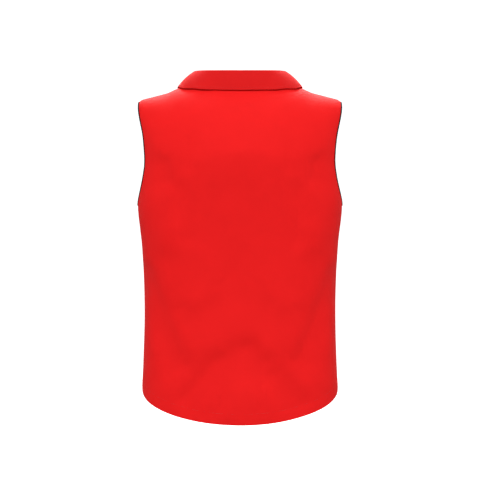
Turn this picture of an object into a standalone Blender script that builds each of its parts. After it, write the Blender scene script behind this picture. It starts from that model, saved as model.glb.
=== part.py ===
"""A sleeveless vest with a turned-down collar, filled out as if worn, as the pieces that a maker cuts.

Metres, +Z up. The front faces -Y and the back faces +Y. The origin is the middle of the shoulder line,
at the height of the two points where the shoulder seams meet the neck.
The side seams and the shoulder seams lie in the plane y = 0.
"""

import math

import bmesh
import bpy
import numpy as np
from mathutils import Vector
from mathutils.geometry import delaunay_2d_cdt

# Cloth and seams.
CLOTH = 0.0015
COLLAR_CLOTH = 0.0018
BINDING_CLOTH = 0.0009
BINDING_GAP = 0.0005
SEAM_GAP = 0.0003
LAP_GAP = 0.0005

# The garment's form round the body. A section is a superellipse, squarer than an ellipse.
SQUARENESS = 2.55
SHOULDER_SLOPE = 0.25
NECK_HALF_WIDTH = 0.088
NECK_BACK_DEPTH = 0.045
NECK_FRONT_DEPTH = 0.076
RAMP_START = 0.118
RAMP_LENGTH = 0.031
RAMP_DROP = 0.0049
TIP_DROP_START = 0.194
TIP_DROP = 50.0
SHOULDER_TIP = 0.2035

# Armholes, as seen from the side.
UNDERARM = -0.243
ARMHOLE_WIDEST = -0.152
ARMHOLE_BACK_REACH = 0.052
ARMHOLE_FRONT_REACH = 0.060
ARMHOLE_FULLNESS = 0.92
BINDING_WIDTH = 0.0026

# Hem, a curve that is lowest at the centre of the back and highest at the side seams.
HEM_BACK = -0.6731
HEM_SIDE = -0.6050
HEM_FRONT = -0.6480
HEM_CURVE = 2.1
HEM_EASE = 0.06

# Fastening: the wearer's left front, on +X, laps over the right one.
LAP = 0.018
LAP_EASE = 0.045
BUTTON_RADIUS = 0.0080
BUTTON_DEPTH = 0.0032
BUTTON_RIM = 0.0018
BUTTON_WELL = 0.0010
BUTTON_SIDES = 20
TOP_BUTTON = -0.107
BUTTON_STEP = 0.108
BUTTONS = 5

# Collar.
COLLAR_LIFT = 0.0010
COLLAR_CLEAR = 0.0012
COLLAR_TURN = 0.0035
COLLAR_END = 0.0022
COLLAR_SLANT = math.radians(50)

# How finely each piece is cut up.
GRID = 0.022
HALF_BACK = 0.275
SIDE_STEPS = 16
ARMHOLE_STEPS = 20
SHOULDER_STEPS = 6
BACK_NECK_STEPS = 7
FRONT_NECK_STEPS = 11
HEM_STEPS = 13
COLLAR_STEPS = 20
STAND_STEPS = 3
TURN_STEPS = 4
LEAF_STEPS = 5

# Sections of the body, from the hem up to the shoulder line. Depths count only below the crown.
SECTION_COLUMNS = ("height", "half_width", "back_depth", "front_depth")
SECTIONS = (
    (-0.700, 0.1975, 0.1220, 0.1190),
    (-0.610, 0.1958, 0.1190, 0.1190),
    (-0.540, 0.1932, 0.1120, 0.1180),
    (-0.460, 0.1917, 0.1070, 0.1180),
    (-0.390, 0.1932, 0.1065, 0.1200),
    (-0.320, 0.1970, 0.1100, 0.1230),
    (-0.243, 0.2048, 0.1150, 0.1250),
    (-0.190, 0.2008, 0.1178, 0.1250),
    (-0.160, 0.1993, 0.1180, 0.1250),
    (-0.100, 0.2022, 0.1180, 0.1250),
    (-0.050, 0.2105, 0.1180, 0.1250),
    (0.000, 0.2190, 0.1180, 0.1250),
)

# The crown is the stretch that curves over from the upright cloth to the shoulder line.
CROWN_COLUMNS = ("start", "fullness")
BACK_CROWN = (-0.160, 2.00)
FRONT_CROWN = (-0.210, 1.60)

# Soft folds and hollows. A line from one end to the other on the cloth as seen square on,
# how far the fold spreads above and below the line, and how far the cloth stands out there.
# side is 1 on the back and -1 on the front.
FOLD_COLUMNS = ("side", "from_x", "from_z", "to_x", "to_z", "above", "below", "out")
FOLDS = (
    (1, 0.016, -0.142, 0.066, -0.164, 0.024, 0.050, 0.0032),
    (1, -0.026, -0.140, -0.072, -0.163, 0.024, 0.050, 0.0032),
    (1, 0.150, -0.166, 0.146, -0.196, 0.016, 0.036, -0.0042),
    (1, -0.151, -0.164, -0.147, -0.194, 0.016, 0.036, -0.0044),
    (1, 0.112, -0.214, 0.106, -0.310, 0.016, 0.016, -0.0030),
    (1, -0.112, -0.218, -0.110, -0.318, 0.016, 0.016, -0.0030),
    (1, 0.144, -0.300, 0.142, -0.316, 0.036, 0.024, 0.0042),
    (1, -0.144, -0.304, -0.142, -0.322, 0.036, 0.024, 0.0042),
    (1, 0.086, -0.428, 0.060, -0.412, 0.080, 0.026, 0.0044),
    (1, -0.060, -0.414, -0.088, -0.432, 0.080, 0.026, 0.0046),
    (1, 0.084, -0.516, 0.064, -0.518, 0.070, 0.036, 0.0048),
    (1, -0.064, -0.516, -0.084, -0.512, 0.070, 0.036, 0.0048),
    (1, 0.188, -0.376, 0.118, -0.556, 0.018, 0.038, -0.0048),
    (1, -0.187, -0.382, -0.120, -0.546, 0.018, 0.038, -0.0048),
    (1, 0.046, -0.547, 0.104, -0.622, 0.018, 0.042, -0.0048),
    (1, -0.020, -0.522, -0.044, -0.552, 0.018, 0.040, -0.0046),
    (1, -0.070, -0.580, -0.120, -0.630, 0.018, 0.038, -0.0044),
    (1, 0.004, -0.652, -0.004, -0.668, 0.074, 0.030, 0.0046),
    (-1, 0.095, -0.205, 0.090, -0.240, 0.048, 0.048, 0.0045),
    (-1, -0.095, -0.205, -0.090, -0.240, 0.048, 0.048, 0.0045),
    (-1, 0.140, -0.110, 0.150, -0.190, 0.024, 0.026, -0.0040),
    (-1, -0.142, -0.115, -0.150, -0.185, 0.024, 0.026, -0.0042),
    (-1, 0.172, -0.330, 0.118, -0.540, 0.018, 0.036, -0.0044),
    (-1, -0.170, -0.340, -0.124, -0.530, 0.018, 0.036, -0.0044),
    (-1, 0.080, -0.360, 0.070, -0.600, 0.032, 0.032, 0.0036),
    (-1, -0.082, -0.340, -0.074, -0.590, 0.030, 0.030, 0.0034),
)
FOLD_FADE = 0.030

# Sections of half the collar, by the angle round the neck from the centre of the back.
# The roll is where the stand turns over into the leaf, and the edge is where the leaf ends in plan.
# leaf_sag is how far the leaf hangs below a straight line from roll to edge. It is negative for a bulge.
COLLAR_TABLE_COLUMNS = ("angle", "roll_height", "roll_out", "edge_x", "edge_y", "leaf_sag")
COLLAR_TABLE = (
    (0.0, 0.0226, -0.0010, 0.0000, 0.0578, 0.0000),
    (30.0, 0.0232, 0.0000, 0.0450, 0.0560, 0.0000),
    (60.0, 0.0246, 0.0010, 0.0900, 0.0500, -0.0020),
    (75.0, 0.0250, 0.0014, 0.1150, 0.0340, -0.0030),
    (90.0, 0.0250, 0.0026, 0.1240, 0.0000, -0.0040),
    (115.0, 0.0110, 0.0035, 0.1125, -0.0440, -0.0025),
    (140.0, -0.0180, 0.0035, 0.0790, -0.0760, -0.0020),
    (160.0, -0.0450, 0.0030, 0.0560, -0.0920, -0.0010),
    (180.0, -0.0600, 0.0030, 0.0420, -0.1020, 0.0000),
)

BACK, FRONT = 1, -1
RED = (0.79, 0.013, 0.014)
BLACK = (0.010, 0.010, 0.012)
BUTTON_RED = (0.50, 0.010, 0.012)


def column(names, rows, name):
    return np.array([row[names.index(name)] for row in rows])


def curve_through(keys, values, at):
    """A smooth curve through a table's values, with each slope taken from the neighbours."""
    slopes = np.gradient(values, keys)
    at = np.clip(at, keys[0], keys[-1])
    i = np.clip(np.searchsorted(keys, at, side="right") - 1, 0, len(keys) - 2)
    span = keys[i + 1] - keys[i]
    t = (at - keys[i]) / span
    return (
        values[i] * (1 + 2 * t) * (1 - t) ** 2
        + slopes[i] * span * t * (1 - t) ** 2
        + values[i + 1] * t**2 * (3 - 2 * t)
        + slopes[i + 1] * span * t**2 * (t - 1)
    )


def ease(t):
    t = np.clip(t, 0.0, 1.0)
    return t * t * (3 - 2 * t)


def run_of(points):
    """The distance along a row of points."""
    steps = np.linalg.norm(np.diff(points, axis=0), axis=1)
    return np.concatenate([[0.0], np.cumsum(steps)])


def section_size(name, height):
    keys = column(SECTION_COLUMNS, SECTIONS, "height")
    return curve_through(keys, column(SECTION_COLUMNS, SECTIONS, name), height)


def quarter_curve(power, width, depth, samples=1441):
    """A quarter of a superellipse as unit offsets, by the share of its length."""
    angle = np.linspace(0.0, math.pi / 2, samples)
    first = np.sin(angle) ** (2 / power)
    second = np.abs(np.cos(angle)) ** (2 / power)
    run = run_of(np.stack([first * width, second * depth], axis=1))
    return run / run[-1], first, second, run[-1]


GIRTH_SHARE, ACROSS, OUT, _ = quarter_curve(SQUARENESS, 0.200, 0.118)


class Form:
    """The outer skin of the back or the front, by girth (0 at the centre, 1 at the side) and level.

    A level is a length up the centre line from where the crown starts, negative below it.
    """

    def __init__(self, side):
        self.side = side
        crown = dict(zip(CROWN_COLUMNS, BACK_CROWN if side == BACK else FRONT_CROWN))
        self.start = crown["start"]
        self.depth_name = "back_depth" if side == BACK else "front_depth"
        self.crown_depth = float(section_size(self.depth_name, self.start))
        share, rise, out, length = quarter_curve(crown["fullness"], -self.start, self.crown_depth)
        self.levels, self.rise, self.crown_out = share * length, rise, out
        self.top = length

    def crown(self, level):
        """How far up and how far out the crown is at a level, as shares."""
        level = np.maximum(level, 0.0)
        return np.interp(level, self.levels, self.rise), np.interp(level, self.levels, self.crown_out)

    def sizes(self, level):
        rise, out = self.crown(level)
        height = np.where(level < 0, self.start + level, self.start * (1 - rise))
        depth = np.where(level < 0, section_size(self.depth_name, height), self.crown_depth)
        return section_size("half_width", height), depth * out, rise

    def point(self, girth, level):
        girth, level = np.broadcast_arrays(np.asarray(girth, float), np.asarray(level, float))
        half_width, depth, rise = self.sizes(level)
        x = half_width * np.sign(girth) * np.interp(np.abs(girth), GIRTH_SHARE, ACROSS)
        y = self.side * depth * np.interp(np.abs(girth), GIRTH_SHARE, OUT)
        z = np.where(level < 0, self.start + level, self.start + (ridge(x) - self.start) * rise)
        return np.stack([x, y, z], axis=-1)

    def girth_at(self, x, level):
        half_width, _, _ = self.sizes(level)
        return np.sign(x) * np.interp(np.abs(x) / half_width, ACROSS, GIRTH_SHARE)

    def level_above(self, x, y):
        """The level on the crown over places in plan."""
        x, y = np.abs(x), np.abs(y)
        level = np.full(np.shape(x), self.top * 0.7)
        for _ in range(14):
            out = y / (self.crown_depth * np.interp(np.abs(self.girth_at(x, level)), GIRTH_SHARE, OUT))
            level = np.interp(out, self.crown_out[::-1], self.levels[::-1])
        return level

    def level_at(self, x, z):
        share = (z - self.start) / (ridge(x) - self.start)
        return np.where(z < self.start, z - self.start, np.interp(share, self.rise, self.levels))

    def place_from_side(self, y, z):
        """Girths and levels of the skin's points that a view from the side shows at y and z."""
        low, high = np.full(len(y), 0.1), np.full(len(y), 0.3)
        for _ in range(40):
            x = (low + high) / 2
            level = self.level_at(x, z)
            girth = self.girth_at(x, level)
            nearer = (np.abs(self.point(girth, level)[:, 1]) > np.abs(y)) & (girth < 1)
            low, high = np.where(nearer, x, low), np.where(nearer, high, x)
        level = self.level_at(low, z)
        return np.stack([self.girth_at(low, level), level], axis=1)


def ridge(x):
    """Height of the shoulder line, steeper where it leaves the collar and rounded off at the armhole."""
    x = np.abs(x)
    slope = SHOULDER_SLOPE * np.maximum(x - NECK_HALF_WIDTH, 0.0)
    ramp = RAMP_DROP * ease((x - RAMP_START) / RAMP_LENGTH)
    return -slope - ramp - TIP_DROP * np.maximum(x - TIP_DROP_START, 0.0) ** 2


FORMS = {BACK: Form(BACK), FRONT: Form(FRONT)}


def spread_evenly(form, places, count):
    """That many steps along a line of girths and levels, equal in length on the skin."""
    places = np.array(places, float)
    run = run_of(form.point(places[:, 0], places[:, 1]))
    at = np.linspace(0, run[-1], count + 1)
    return np.stack([np.interp(at, run, places[:, k]) for k in range(2)], axis=1)


def straight(form, start, end, count):
    share = np.linspace(0, 1, 61)[:, None]
    return spread_evenly(form, np.array(start) * (1 - share) + np.array(end) * share, count)


def hem_height(side, girth):
    """A parabola that flattens a little where it meets the side seam."""
    centre = HEM_BACK if side == BACK else HEM_FRONT
    girth = np.abs(girth)
    share = girth**HEM_CURVE * (1 - HEM_EASE * girth**8) / (1 - HEM_EASE)
    return centre + (HEM_SIDE - centre) * share


def hem_line(form, start_girth):
    girths = np.linspace(start_girth, 1.0, 61)
    levels = hem_height(form.side, girths) - form.start
    return spread_evenly(form, np.stack([girths, levels], axis=1), HEM_STEPS)


def armhole_line(form):
    """From the underarm up to the shoulder tip."""
    reach = ARMHOLE_BACK_REACH if form.side == BACK else ARMHOLE_FRONT_REACH
    tip = float(ridge(SHOULDER_TIP))
    angle = np.linspace(0.0, math.pi, 97)
    part = np.where(angle < math.pi / 2, ARMHOLE_WIDEST - UNDERARM, tip - ARMHOLE_WIDEST)
    z = ARMHOLE_WIDEST - np.cos(angle) * part
    y = reach * np.maximum(np.sin(angle), 0.0) ** ARMHOLE_FULLNESS
    places = form.place_from_side(y, z)
    places[0] = (1.0, UNDERARM - form.start)
    places[-1] = (form.girth_at(SHOULDER_TIP, form.top), form.top)
    return spread_evenly(form, places, ARMHOLE_STEPS)


def beside(form, line, distance):
    """A line of places that far to the right of another one, on the skin."""
    points = form.point(line[:, 0], line[:, 1])
    along = np.gradient(points, axis=0)
    across, up = tangents(form, line)
    right = np.cross(along, np.cross(across, up))
    right *= distance / np.linalg.norm(right, axis=1, keepdims=True)
    moved = []
    for place, step, a, u in zip(line, right, across, up):
        share = np.linalg.lstsq(np.stack([a, u], axis=1), step, rcond=None)[0]
        moved.append(place + share)
    return np.array(moved)


def tangents(form, places, step=0.002):
    """How far the skin goes for a unit of girth and a unit of level."""
    girth, level = places[..., 0], places[..., 1]
    across = form.point(girth + step, level) - form.point(girth - step, level)
    up = form.point(girth, level + step) - form.point(girth, level - step)
    return across / (2 * step), up / (2 * step)


def binding_line(form, armhole):
    """Where the binding ends on the cloth. Its own ends lie on the side seam and on the shoulder seam."""
    line = beside(form, armhole, -BINDING_WIDTH)
    line[0] = (1.0, armhole[0, 1] - BINDING_WIDTH)
    line[-1] = (form.girth_at(SHOULDER_TIP - BINDING_WIDTH, form.top), form.top)
    return line


def neck_place(angle):
    """A point of the neck seam in plan, by the angle from the centre of the back."""
    depth = np.where(np.cos(angle) >= 0, NECK_BACK_DEPTH, NECK_FRONT_DEPTH)
    return NECK_HALF_WIDTH * np.sin(angle), depth * np.cos(angle)


def neck_line(form, start_x, count):
    """From the centre, or from the lap's edge, to the shoulder seam."""
    angles = np.linspace(math.asin(start_x / NECK_HALF_WIDTH), math.pi / 2, 61)
    x, y = neck_place(angles if form.side == BACK else math.pi - angles)
    level = form.level_above(x, y)
    places = np.stack([form.girth_at(x, level), level], axis=1)
    places[-1] = (form.girth_at(NECK_HALF_WIDTH, form.top), form.top)
    return spread_evenly(form, places, count)


def front_edge(form, top):
    """Down the edge of the lap, with a place on each row of the grid."""
    foot = hem_height(FRONT, 0.0) - form.start
    levels = np.arange(math.floor(top[1] / GRID), foot / GRID, -1) * GRID
    levels = levels[(levels < top[1] - GRID / 3) & (levels > foot + GRID / 3)]
    return np.stack([form.girth_at(np.full(len(levels), -LAP), levels), levels], axis=1)


def half_outline(form, start_x, neck_steps):
    """Places round a half piece from the foot of its inner edge, and the line where the binding ends."""
    armhole = armhole_line(form)
    strip = binding_line(form, armhole)
    neck = neck_line(form, start_x, neck_steps)
    foot = float(form.girth_at(start_x, hem_height(form.side, 0.0) - form.start))
    hem = hem_line(form, foot)
    side_seam = straight(form, hem[-1], strip[0], SIDE_STEPS)
    shoulder = straight(form, strip[-1], neck[-1], SHOULDER_STEPS)
    outline = np.concatenate([hem, side_seam[1:], armhole, shoulder, neck[-2::-1]])
    return outline, armhole, strip


def inside(outline, points):
    """Which flat points lie inside a closed outline."""
    found = np.zeros(len(points), bool)
    for (x0, y0), (x1, y1) in zip(outline, np.roll(outline, -1, axis=0)):
        if y0 == y1:
            continue
        crosses = (points[:, 1] >= min(y0, y1)) & (points[:, 1] < max(y0, y1))
        at = x0 + (points[:, 1] - y0) * (x1 - x0) / (y1 - y0)
        found ^= crosses & (points[:, 0] < at)
    return found


def distance_from(line, points):
    """How far flat points are from a line of flat points."""
    nearest = np.full(len(points), np.inf)
    for start, end in zip(line[:-1], line[1:]):
        along = end - start
        share = np.clip(((points - start) @ along) / (along @ along), 0, 1)
        nearest = np.minimum(nearest, np.linalg.norm(points - start - share[:, None] * along, axis=1))
    return nearest


def cut_out(outline, strips):
    """Triangles over a pattern piece: its outline, the lines of its strips, and a grid inside them."""
    flat = np.array([HALF_BACK, 1.0])
    rounds = math.ceil(HALF_BACK * 1.1 / GRID)
    low, high = outline[:, 1].min(), outline[:, 1].max()
    across = np.arange(-rounds, rounds + 1) * GRID
    up = np.arange(math.floor(low / GRID), math.ceil(high / GRID) + 1) * GRID
    grid = np.stack(np.meshgrid(across, up), axis=-1).reshape(-1, 2)
    ring_line = np.concatenate([outline, outline[:1]]) * flat
    grid = grid[inside(outline * flat, grid) & (distance_from(ring_line, grid) > GRID * 0.45)]
    places, edges = [outline], [(i, (i + 1) % len(outline)) for i in range(len(outline))]
    count = len(outline)
    for strip in strips:
        grid = grid[distance_from(strip * flat, grid) > GRID * 0.45]
        ends = [int(np.argmin(np.abs(outline - strip[k]).sum(axis=1))) for k in (0, -1)]
        middle = list(range(count, count + len(strip) - 2))
        chain = [ends[0], *middle, ends[1]]
        edges += list(zip(chain[:-1], chain[1:]))
        places.append(strip[1:-1])
        count += len(strip) - 2
    places = np.concatenate([*places, grid / flat])
    verts = [Vector(place) for place in (places * flat).tolist()]
    result = delaunay_2d_cdt(verts, edges, [], 1, 1e-7)
    source = [ids[0] for ids in result[3]]
    return places, [[source[k] for k in face] for face in result[2]]


def fold_out(side, points):
    """How far the folds move each point out. Past its ends a fold spreads by the lesser width."""
    moved = np.zeros(points.shape[:-1])
    for fold in (dict(zip(FOLD_COLUMNS, row)) for row in FOLDS):
        if fold["side"] != side:
            continue
        start = np.array([fold["from_x"], fold["from_z"]])
        line = np.array([fold["to_x"], fold["to_z"]]) - start
        place = points[..., [0, 2]] - start
        share = np.clip((place @ line) / (line @ line), 0, 1)
        offset = place - share[..., None] * line
        away = np.linalg.norm(offset, axis=-1)
        upward = unit(np.array([-line[1], line[0]]) * (1 if line[0] >= 0 else -1))
        upper = (offset @ upward) / np.maximum(away, 1e-6)
        narrow = min(fold["above"], fold["below"])
        spread = narrow + np.maximum(upper, 0) * (fold["above"] - narrow)
        spread += np.maximum(-upper, 0) * (fold["below"] - narrow)
        moved += fold["out"] * np.exp(-((away / spread) ** 2))
    return moved * ease(points[..., 1] * side / FOLD_FADE)


def unit(vectors):
    return vectors / np.linalg.norm(vectors, axis=-1, keepdims=True)


def skin_points(form, places):
    """The folded skin."""
    places = np.stack([np.clip(places[..., 0], -1, 1), np.minimum(places[..., 1], form.top)], axis=-1)
    points = form.point(places[..., 0], places[..., 1])
    across, up = tangents(form, places)
    return points + unit(np.cross(across, up) * -form.side) * fold_out(form.side, points)[..., None]


def skin(form, places, step=0.003):
    """The folded skin, held off the seams' plane, and its normals, which lie in that plane along a seam."""
    points = skin_points(form, places)
    girth, level = np.array([step, 0.0]), np.array([0.0, step])
    across = skin_points(form, places + girth) - skin_points(form, places - girth)
    up = skin_points(form, places + level) - skin_points(form, places - level)
    normals = unit(np.cross(across, up) * -form.side)
    normals[np.abs(points[..., 1]) < SEAM_GAP, 1] = 0.0
    points[..., 1] = form.side * np.maximum(points[..., 1] * form.side, SEAM_GAP / 2)
    return points, unit(normals)


def material(name, colour, roughness, metallic=0.0):
    made = bpy.data.materials.new(name)
    made.use_nodes = True
    shader = made.node_tree.nodes["Principled BSDF"]
    shader.inputs["Base Color"].default_value = (*colour, 1.0)
    shader.inputs["Roughness"].default_value = roughness
    shader.inputs["Metallic"].default_value = metallic
    made.diffuse_color = (*colour, 1.0)
    return made


def add_object(name, mesh, finish, collection):
    mesh.materials.append(finish)
    made = bpy.data.objects.new(name, mesh)
    collection.objects.link(made)
    return made


def mesh_of(name, bm):
    bmesh.ops.recalc_face_normals(bm, faces=bm.faces)
    mesh = bpy.data.meshes.new(name)
    bm.to_mesh(mesh)
    bm.free()
    mesh.shade_smooth()
    mesh.set_sharp_from_angle(angle=math.radians(50))
    return mesh


def wall(name, outer, inner, faces, rim, finish, collection):
    """A closed wall of cloth between two skins of the same triangles, closed round the rim."""
    bm = bmesh.new()
    skins = [[bm.verts.new(point) for point in points] for points in (outer, inner)]
    for verts in skins:
        for face in faces:
            bm.faces.new([verts[k] for k in face])
    for here, after in zip(rim, rim[1:] + rim[:1]):
        bm.faces.new((skins[0][here], skins[0][after], skins[1][after], skins[1][here]))
    return add_object(name, mesh_of(name, bm), finish, collection)


def grid_faces(rows, columns):
    """Faces and rim of a grid of points numbered along its rows."""
    faces = []
    for j in range(rows - 1):
        for i in range(columns - 1):
            k = j * columns + i
            faces.append((k, k + 1, k + columns + 1, k + columns))
    rim = list(range(columns))
    rim += [(j + 1) * columns - 1 for j in range(1, rows)]
    rim += [(rows - 1) * columns + i for i in range(columns - 2, -1, -1)]
    rim += [j * columns for j in range(rows - 2, 0, -1)]
    return faces, rim


def ring(name, sections, finish, collection):
    """A closed ring swept through sections of the same number of points."""
    bm = bmesh.new()
    loops = [[bm.verts.new(p) for p in section] for section in sections]
    for here, after in zip(loops, loops[1:] + loops[:1]):
        for i in range(len(here)):
            k = (i + 1) % len(here)
            bm.faces.new((here[i], here[k], after[k], after[i]))
    return add_object(name, mesh_of(name, bm), finish, collection)


def back_piece(finish, collection):
    form = FORMS[BACK]
    half, _, strip = half_outline(form, 0.0, BACK_NECK_STEPS)
    mirrored = half[-2:0:-1] * [-1, 1]
    outline = np.concatenate([half, mirrored])
    places, faces = cut_out(outline, [strip, strip * [-1, 1]])
    outer, normals = skin(form, places)
    rim = list(range(len(outline)))
    wall("back", outer, outer - CLOTH * normals, faces, rim, finish, collection)


def tuck(x, edge_side):
    """How far the under front lies inside the upper one, by the distance from the centre."""
    depth = CLOTH + LAP_GAP
    return depth * ease(1 + (x * edge_side + LAP) / LAP_EASE)


def front_piece(name, edge_side, finish, collection):
    """edge_side is -1 for the left front, whose edge lies past the centre on -X, and 1 for the right."""
    form = FORMS[FRONT]
    outline, _, strip = half_outline(form, -LAP, FRONT_NECK_STEPS)
    outline = np.concatenate([outline, front_edge(form, outline[-1])])
    outline, strip = outline * [-edge_side, 1], strip * [-edge_side, 1]
    places, faces = cut_out(outline, [strip])
    outer, normals = skin(form, places)
    if edge_side > 0:
        outer = outer - normals * tuck(outer[:, 0], edge_side)[:, None]
    rim = list(range(len(outline)))
    wall(name, outer, outer - CLOTH * normals, faces, rim, finish, collection)


def binding_points(form, sign):
    """Skin and normals at the armhole's edge and at the binding's end, from the underarm upwards."""
    armhole = armhole_line(form)
    strip = binding_line(form, armhole)
    return [skin(form, line * [sign, 1]) for line in (armhole, strip)]


def binding(name, sign, finish, collection):
    """A strip folded over the armhole's edge, made from the panels' own points."""
    rows = []
    for side, order in ((BACK, range(ARMHOLE_STEPS + 1)), (FRONT, range(ARMHOLE_STEPS, -1, -1))):
        edge, end = binding_points(FORMS[side], sign)
        rows += [(edge[0][k], edge[1][k], end[0][k], end[1][k]) for k in order]
    low, high = BINDING_GAP, BINDING_GAP + BINDING_CLOTH
    sections = []
    for p, n, q, m in rows:
        beyond = unit((p - q) - n * ((p - q) @ n))
        under_p, under_q = p - n * CLOTH, q - m * CLOTH
        sections.append((
            q + m * high,
            p + n * high,
            (p + under_p) / 2 + n * (CLOTH / 2 + low) + beyond * high,
            (p + under_p) / 2 - n * (CLOTH / 2 + low) + beyond * high,
            under_p - n * high,
            under_q - m * high,
            under_q - m * low,
            under_p - n * low + beyond * low,
            p + n * low + beyond * low,
            q + m * low,
        ))
    ring(name, sections, finish, collection)


def body_point(x, y):
    """The skin over places in plan, near the neck."""
    x, y = np.broadcast_arrays(np.asarray(x, float), np.asarray(y, float))
    found = [FORMS[side].point(FORMS[side].girth_at(x, level), level) for side, level in (
        (BACK, FORMS[BACK].level_above(x, y)), (FRONT, FORMS[FRONT].level_above(x, y)))]
    return np.where((y >= 0)[..., None], *found)


def body_normal(x, y, step=0.002):
    along_x = body_point(x + step, y) - body_point(x - step, y)
    along_y = body_point(x, y + step) - body_point(x, y - step)
    return unit(np.cross(along_x, along_y))


def leaf_cleared(points):
    """Points of the leaf, moved up to where its wall clears the cloth below."""
    below, normals = body_point(points[:, 0], points[:, 1]), body_normal(points[:, 0], points[:, 1])
    short = (COLLAR_CLOTH + COLLAR_CLEAR) / np.maximum(normals[:, 2], 0.3) - (points[:, 2] - below[:, 2])
    return points + np.maximum(short, 0.0)[:, None] * [0, 0, 1]


def collar_section(angle, sign):
    """Points from the neck seam up the stand, over the roll and down the leaf, on the side that shows."""
    keys = column(COLLAR_TABLE_COLUMNS, COLLAR_TABLE, "angle")
    size = {
        name: float(curve_through(keys, column(COLLAR_TABLE_COLUMNS, COLLAR_TABLE, name), angle))
        for name in COLLAR_TABLE_COLUMNS[1:]
    }
    x, y = (float(value) for value in neck_place(math.radians(angle)))
    depth = NECK_BACK_DEPTH if y >= 0 else NECK_FRONT_DEPTH
    out = unit(np.array([x / NECK_HALF_WIDTH**2, y / depth**2, 0.0]))
    x = max(x, COLLAR_END)
    neck = body_point(x, y) + [0, 0, COLLAR_LIFT]
    edge_x = max(size["edge_x"], 0.0)
    edge = body_point(edge_x, size["edge_y"])
    edge = edge + body_normal(edge_x, size["edge_y"]) * (COLLAR_CLOTH + COLLAR_CLEAR)
    roll = np.array([x, y, size["roll_height"] - COLLAR_TURN]) + out * size["roll_out"]
    away = unit((edge - roll) * [1, 1, 0])
    start = roll - away * COLLAR_TURN
    points = [neck + (start - neck) * k / STAND_STEPS for k in range(STAND_STEPS)]
    for turn in np.linspace(math.pi, COLLAR_SLANT, TURN_STEPS + 1):
        points.append(roll + COLLAR_TURN * (away * math.cos(turn) + np.array([0, 0, math.sin(turn)])))
    begin = points[-1]
    pull = (begin + edge) / 2 - [0, 0, size["leaf_sag"]]
    t = np.linspace(0, 1, LEAF_STEPS + 1)[1:, None]
    leaf = begin * (1 - t) ** 2 + pull * 2 * t * (1 - t) + edge * t**2
    return np.concatenate([points, leaf_cleared(leaf)]) * [sign, 1, 1]


def collar_piece(finish, collection):
    angles = np.linspace(0, 180, COLLAR_STEPS + 1)
    left = [collar_section(angle, -1) for angle in angles[:0:-1]]
    shown = np.array(left + [collar_section(angle, 1) for angle in angles])
    along, across = np.gradient(shown, axis=0), np.gradient(shown, axis=1)
    inward = unit(np.cross(along, across))
    if inward[COLLAR_STEPS, 0, 1] < 0:
        inward = -inward
    faces, rim = grid_faces(*shown.shape[:2])
    hidden = shown + inward * COLLAR_CLOTH
    wall("collar", shown.reshape(-1, 3), hidden.reshape(-1, 3), faces, rim, finish, collection)


def button(name, height, finish, collection):
    """A turned disc with a raised rim, lying on the left front at the centre line."""
    form = FORMS[FRONT]
    level = float(form.level_at(0.0, height))
    (here,), (normal,) = skin(form, np.array([[0.0, level]]))
    seat, top = SEAM_GAP, SEAM_GAP + BUTTON_DEPTH
    profile = (
        (0.0, top - BUTTON_WELL),
        (BUTTON_RADIUS - BUTTON_RIM * 1.4, top - BUTTON_WELL),
        (BUTTON_RADIUS - BUTTON_RIM, top),
        (BUTTON_RADIUS - BUTTON_RIM * 0.4, top),
        (BUTTON_RADIUS, top - BUTTON_RIM * 0.5),
        (BUTTON_RADIUS, seat + BUTTON_RIM * 0.6),
        (BUTTON_RADIUS - BUTTON_RIM, seat),
        (0.0, seat),
    )
    mesh = bpy.data.meshes.new(name)
    mesh.from_pydata([(r, 0.0, h) for r, h in profile], [(i, i + 1) for i in range(len(profile) - 1)], [])
    made = add_object(name, mesh, finish, collection)
    turned = made.modifiers.new("turned", "SCREW")
    turned.steps = turned.render_steps = BUTTON_SIDES
    turned.use_merge_vertices = True
    turned.merge_threshold = 0.00005
    turned.use_normal_calculate = True
    made.location = here
    made.rotation_mode = "QUATERNION"
    made.rotation_quaternion = Vector(normal.tolist()).to_track_quat("Z", "Y")


def main():
    for old in list(bpy.data.objects):
        bpy.data.objects.remove(old)
    vest = bpy.data.collections.new("vest")
    bpy.context.scene.collection.children.link(vest)
    red = material("red cloth", RED, 0.62)
    black = material("black binding", BLACK, 0.70)
    plastic = material("red button", BUTTON_RED, 0.30)
    back_piece(red, vest)
    front_piece("front_left", -1, red, vest)
    front_piece("front_right", 1, red, vest)
    binding("armhole_binding_left", 1, black, vest)
    binding("armhole_binding_right", -1, black, vest)
    collar_piece(red, vest)
    for k in range(BUTTONS):
        button(f"button_{k + 1}", TOP_BUTTON - k * BUTTON_STEP, plastic, vest)


main()
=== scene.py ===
"""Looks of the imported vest: cloth shells with creases, sewing, buttons, materials, light and camera.

Metres, +Z up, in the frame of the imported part. The photo shows the back, which faces +Y.
"""

import math

import bmesh
import bpy
import numpy as np
from mathutils import Matrix, Vector
from mathutils.geometry import delaunay_2d_cdt


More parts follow.
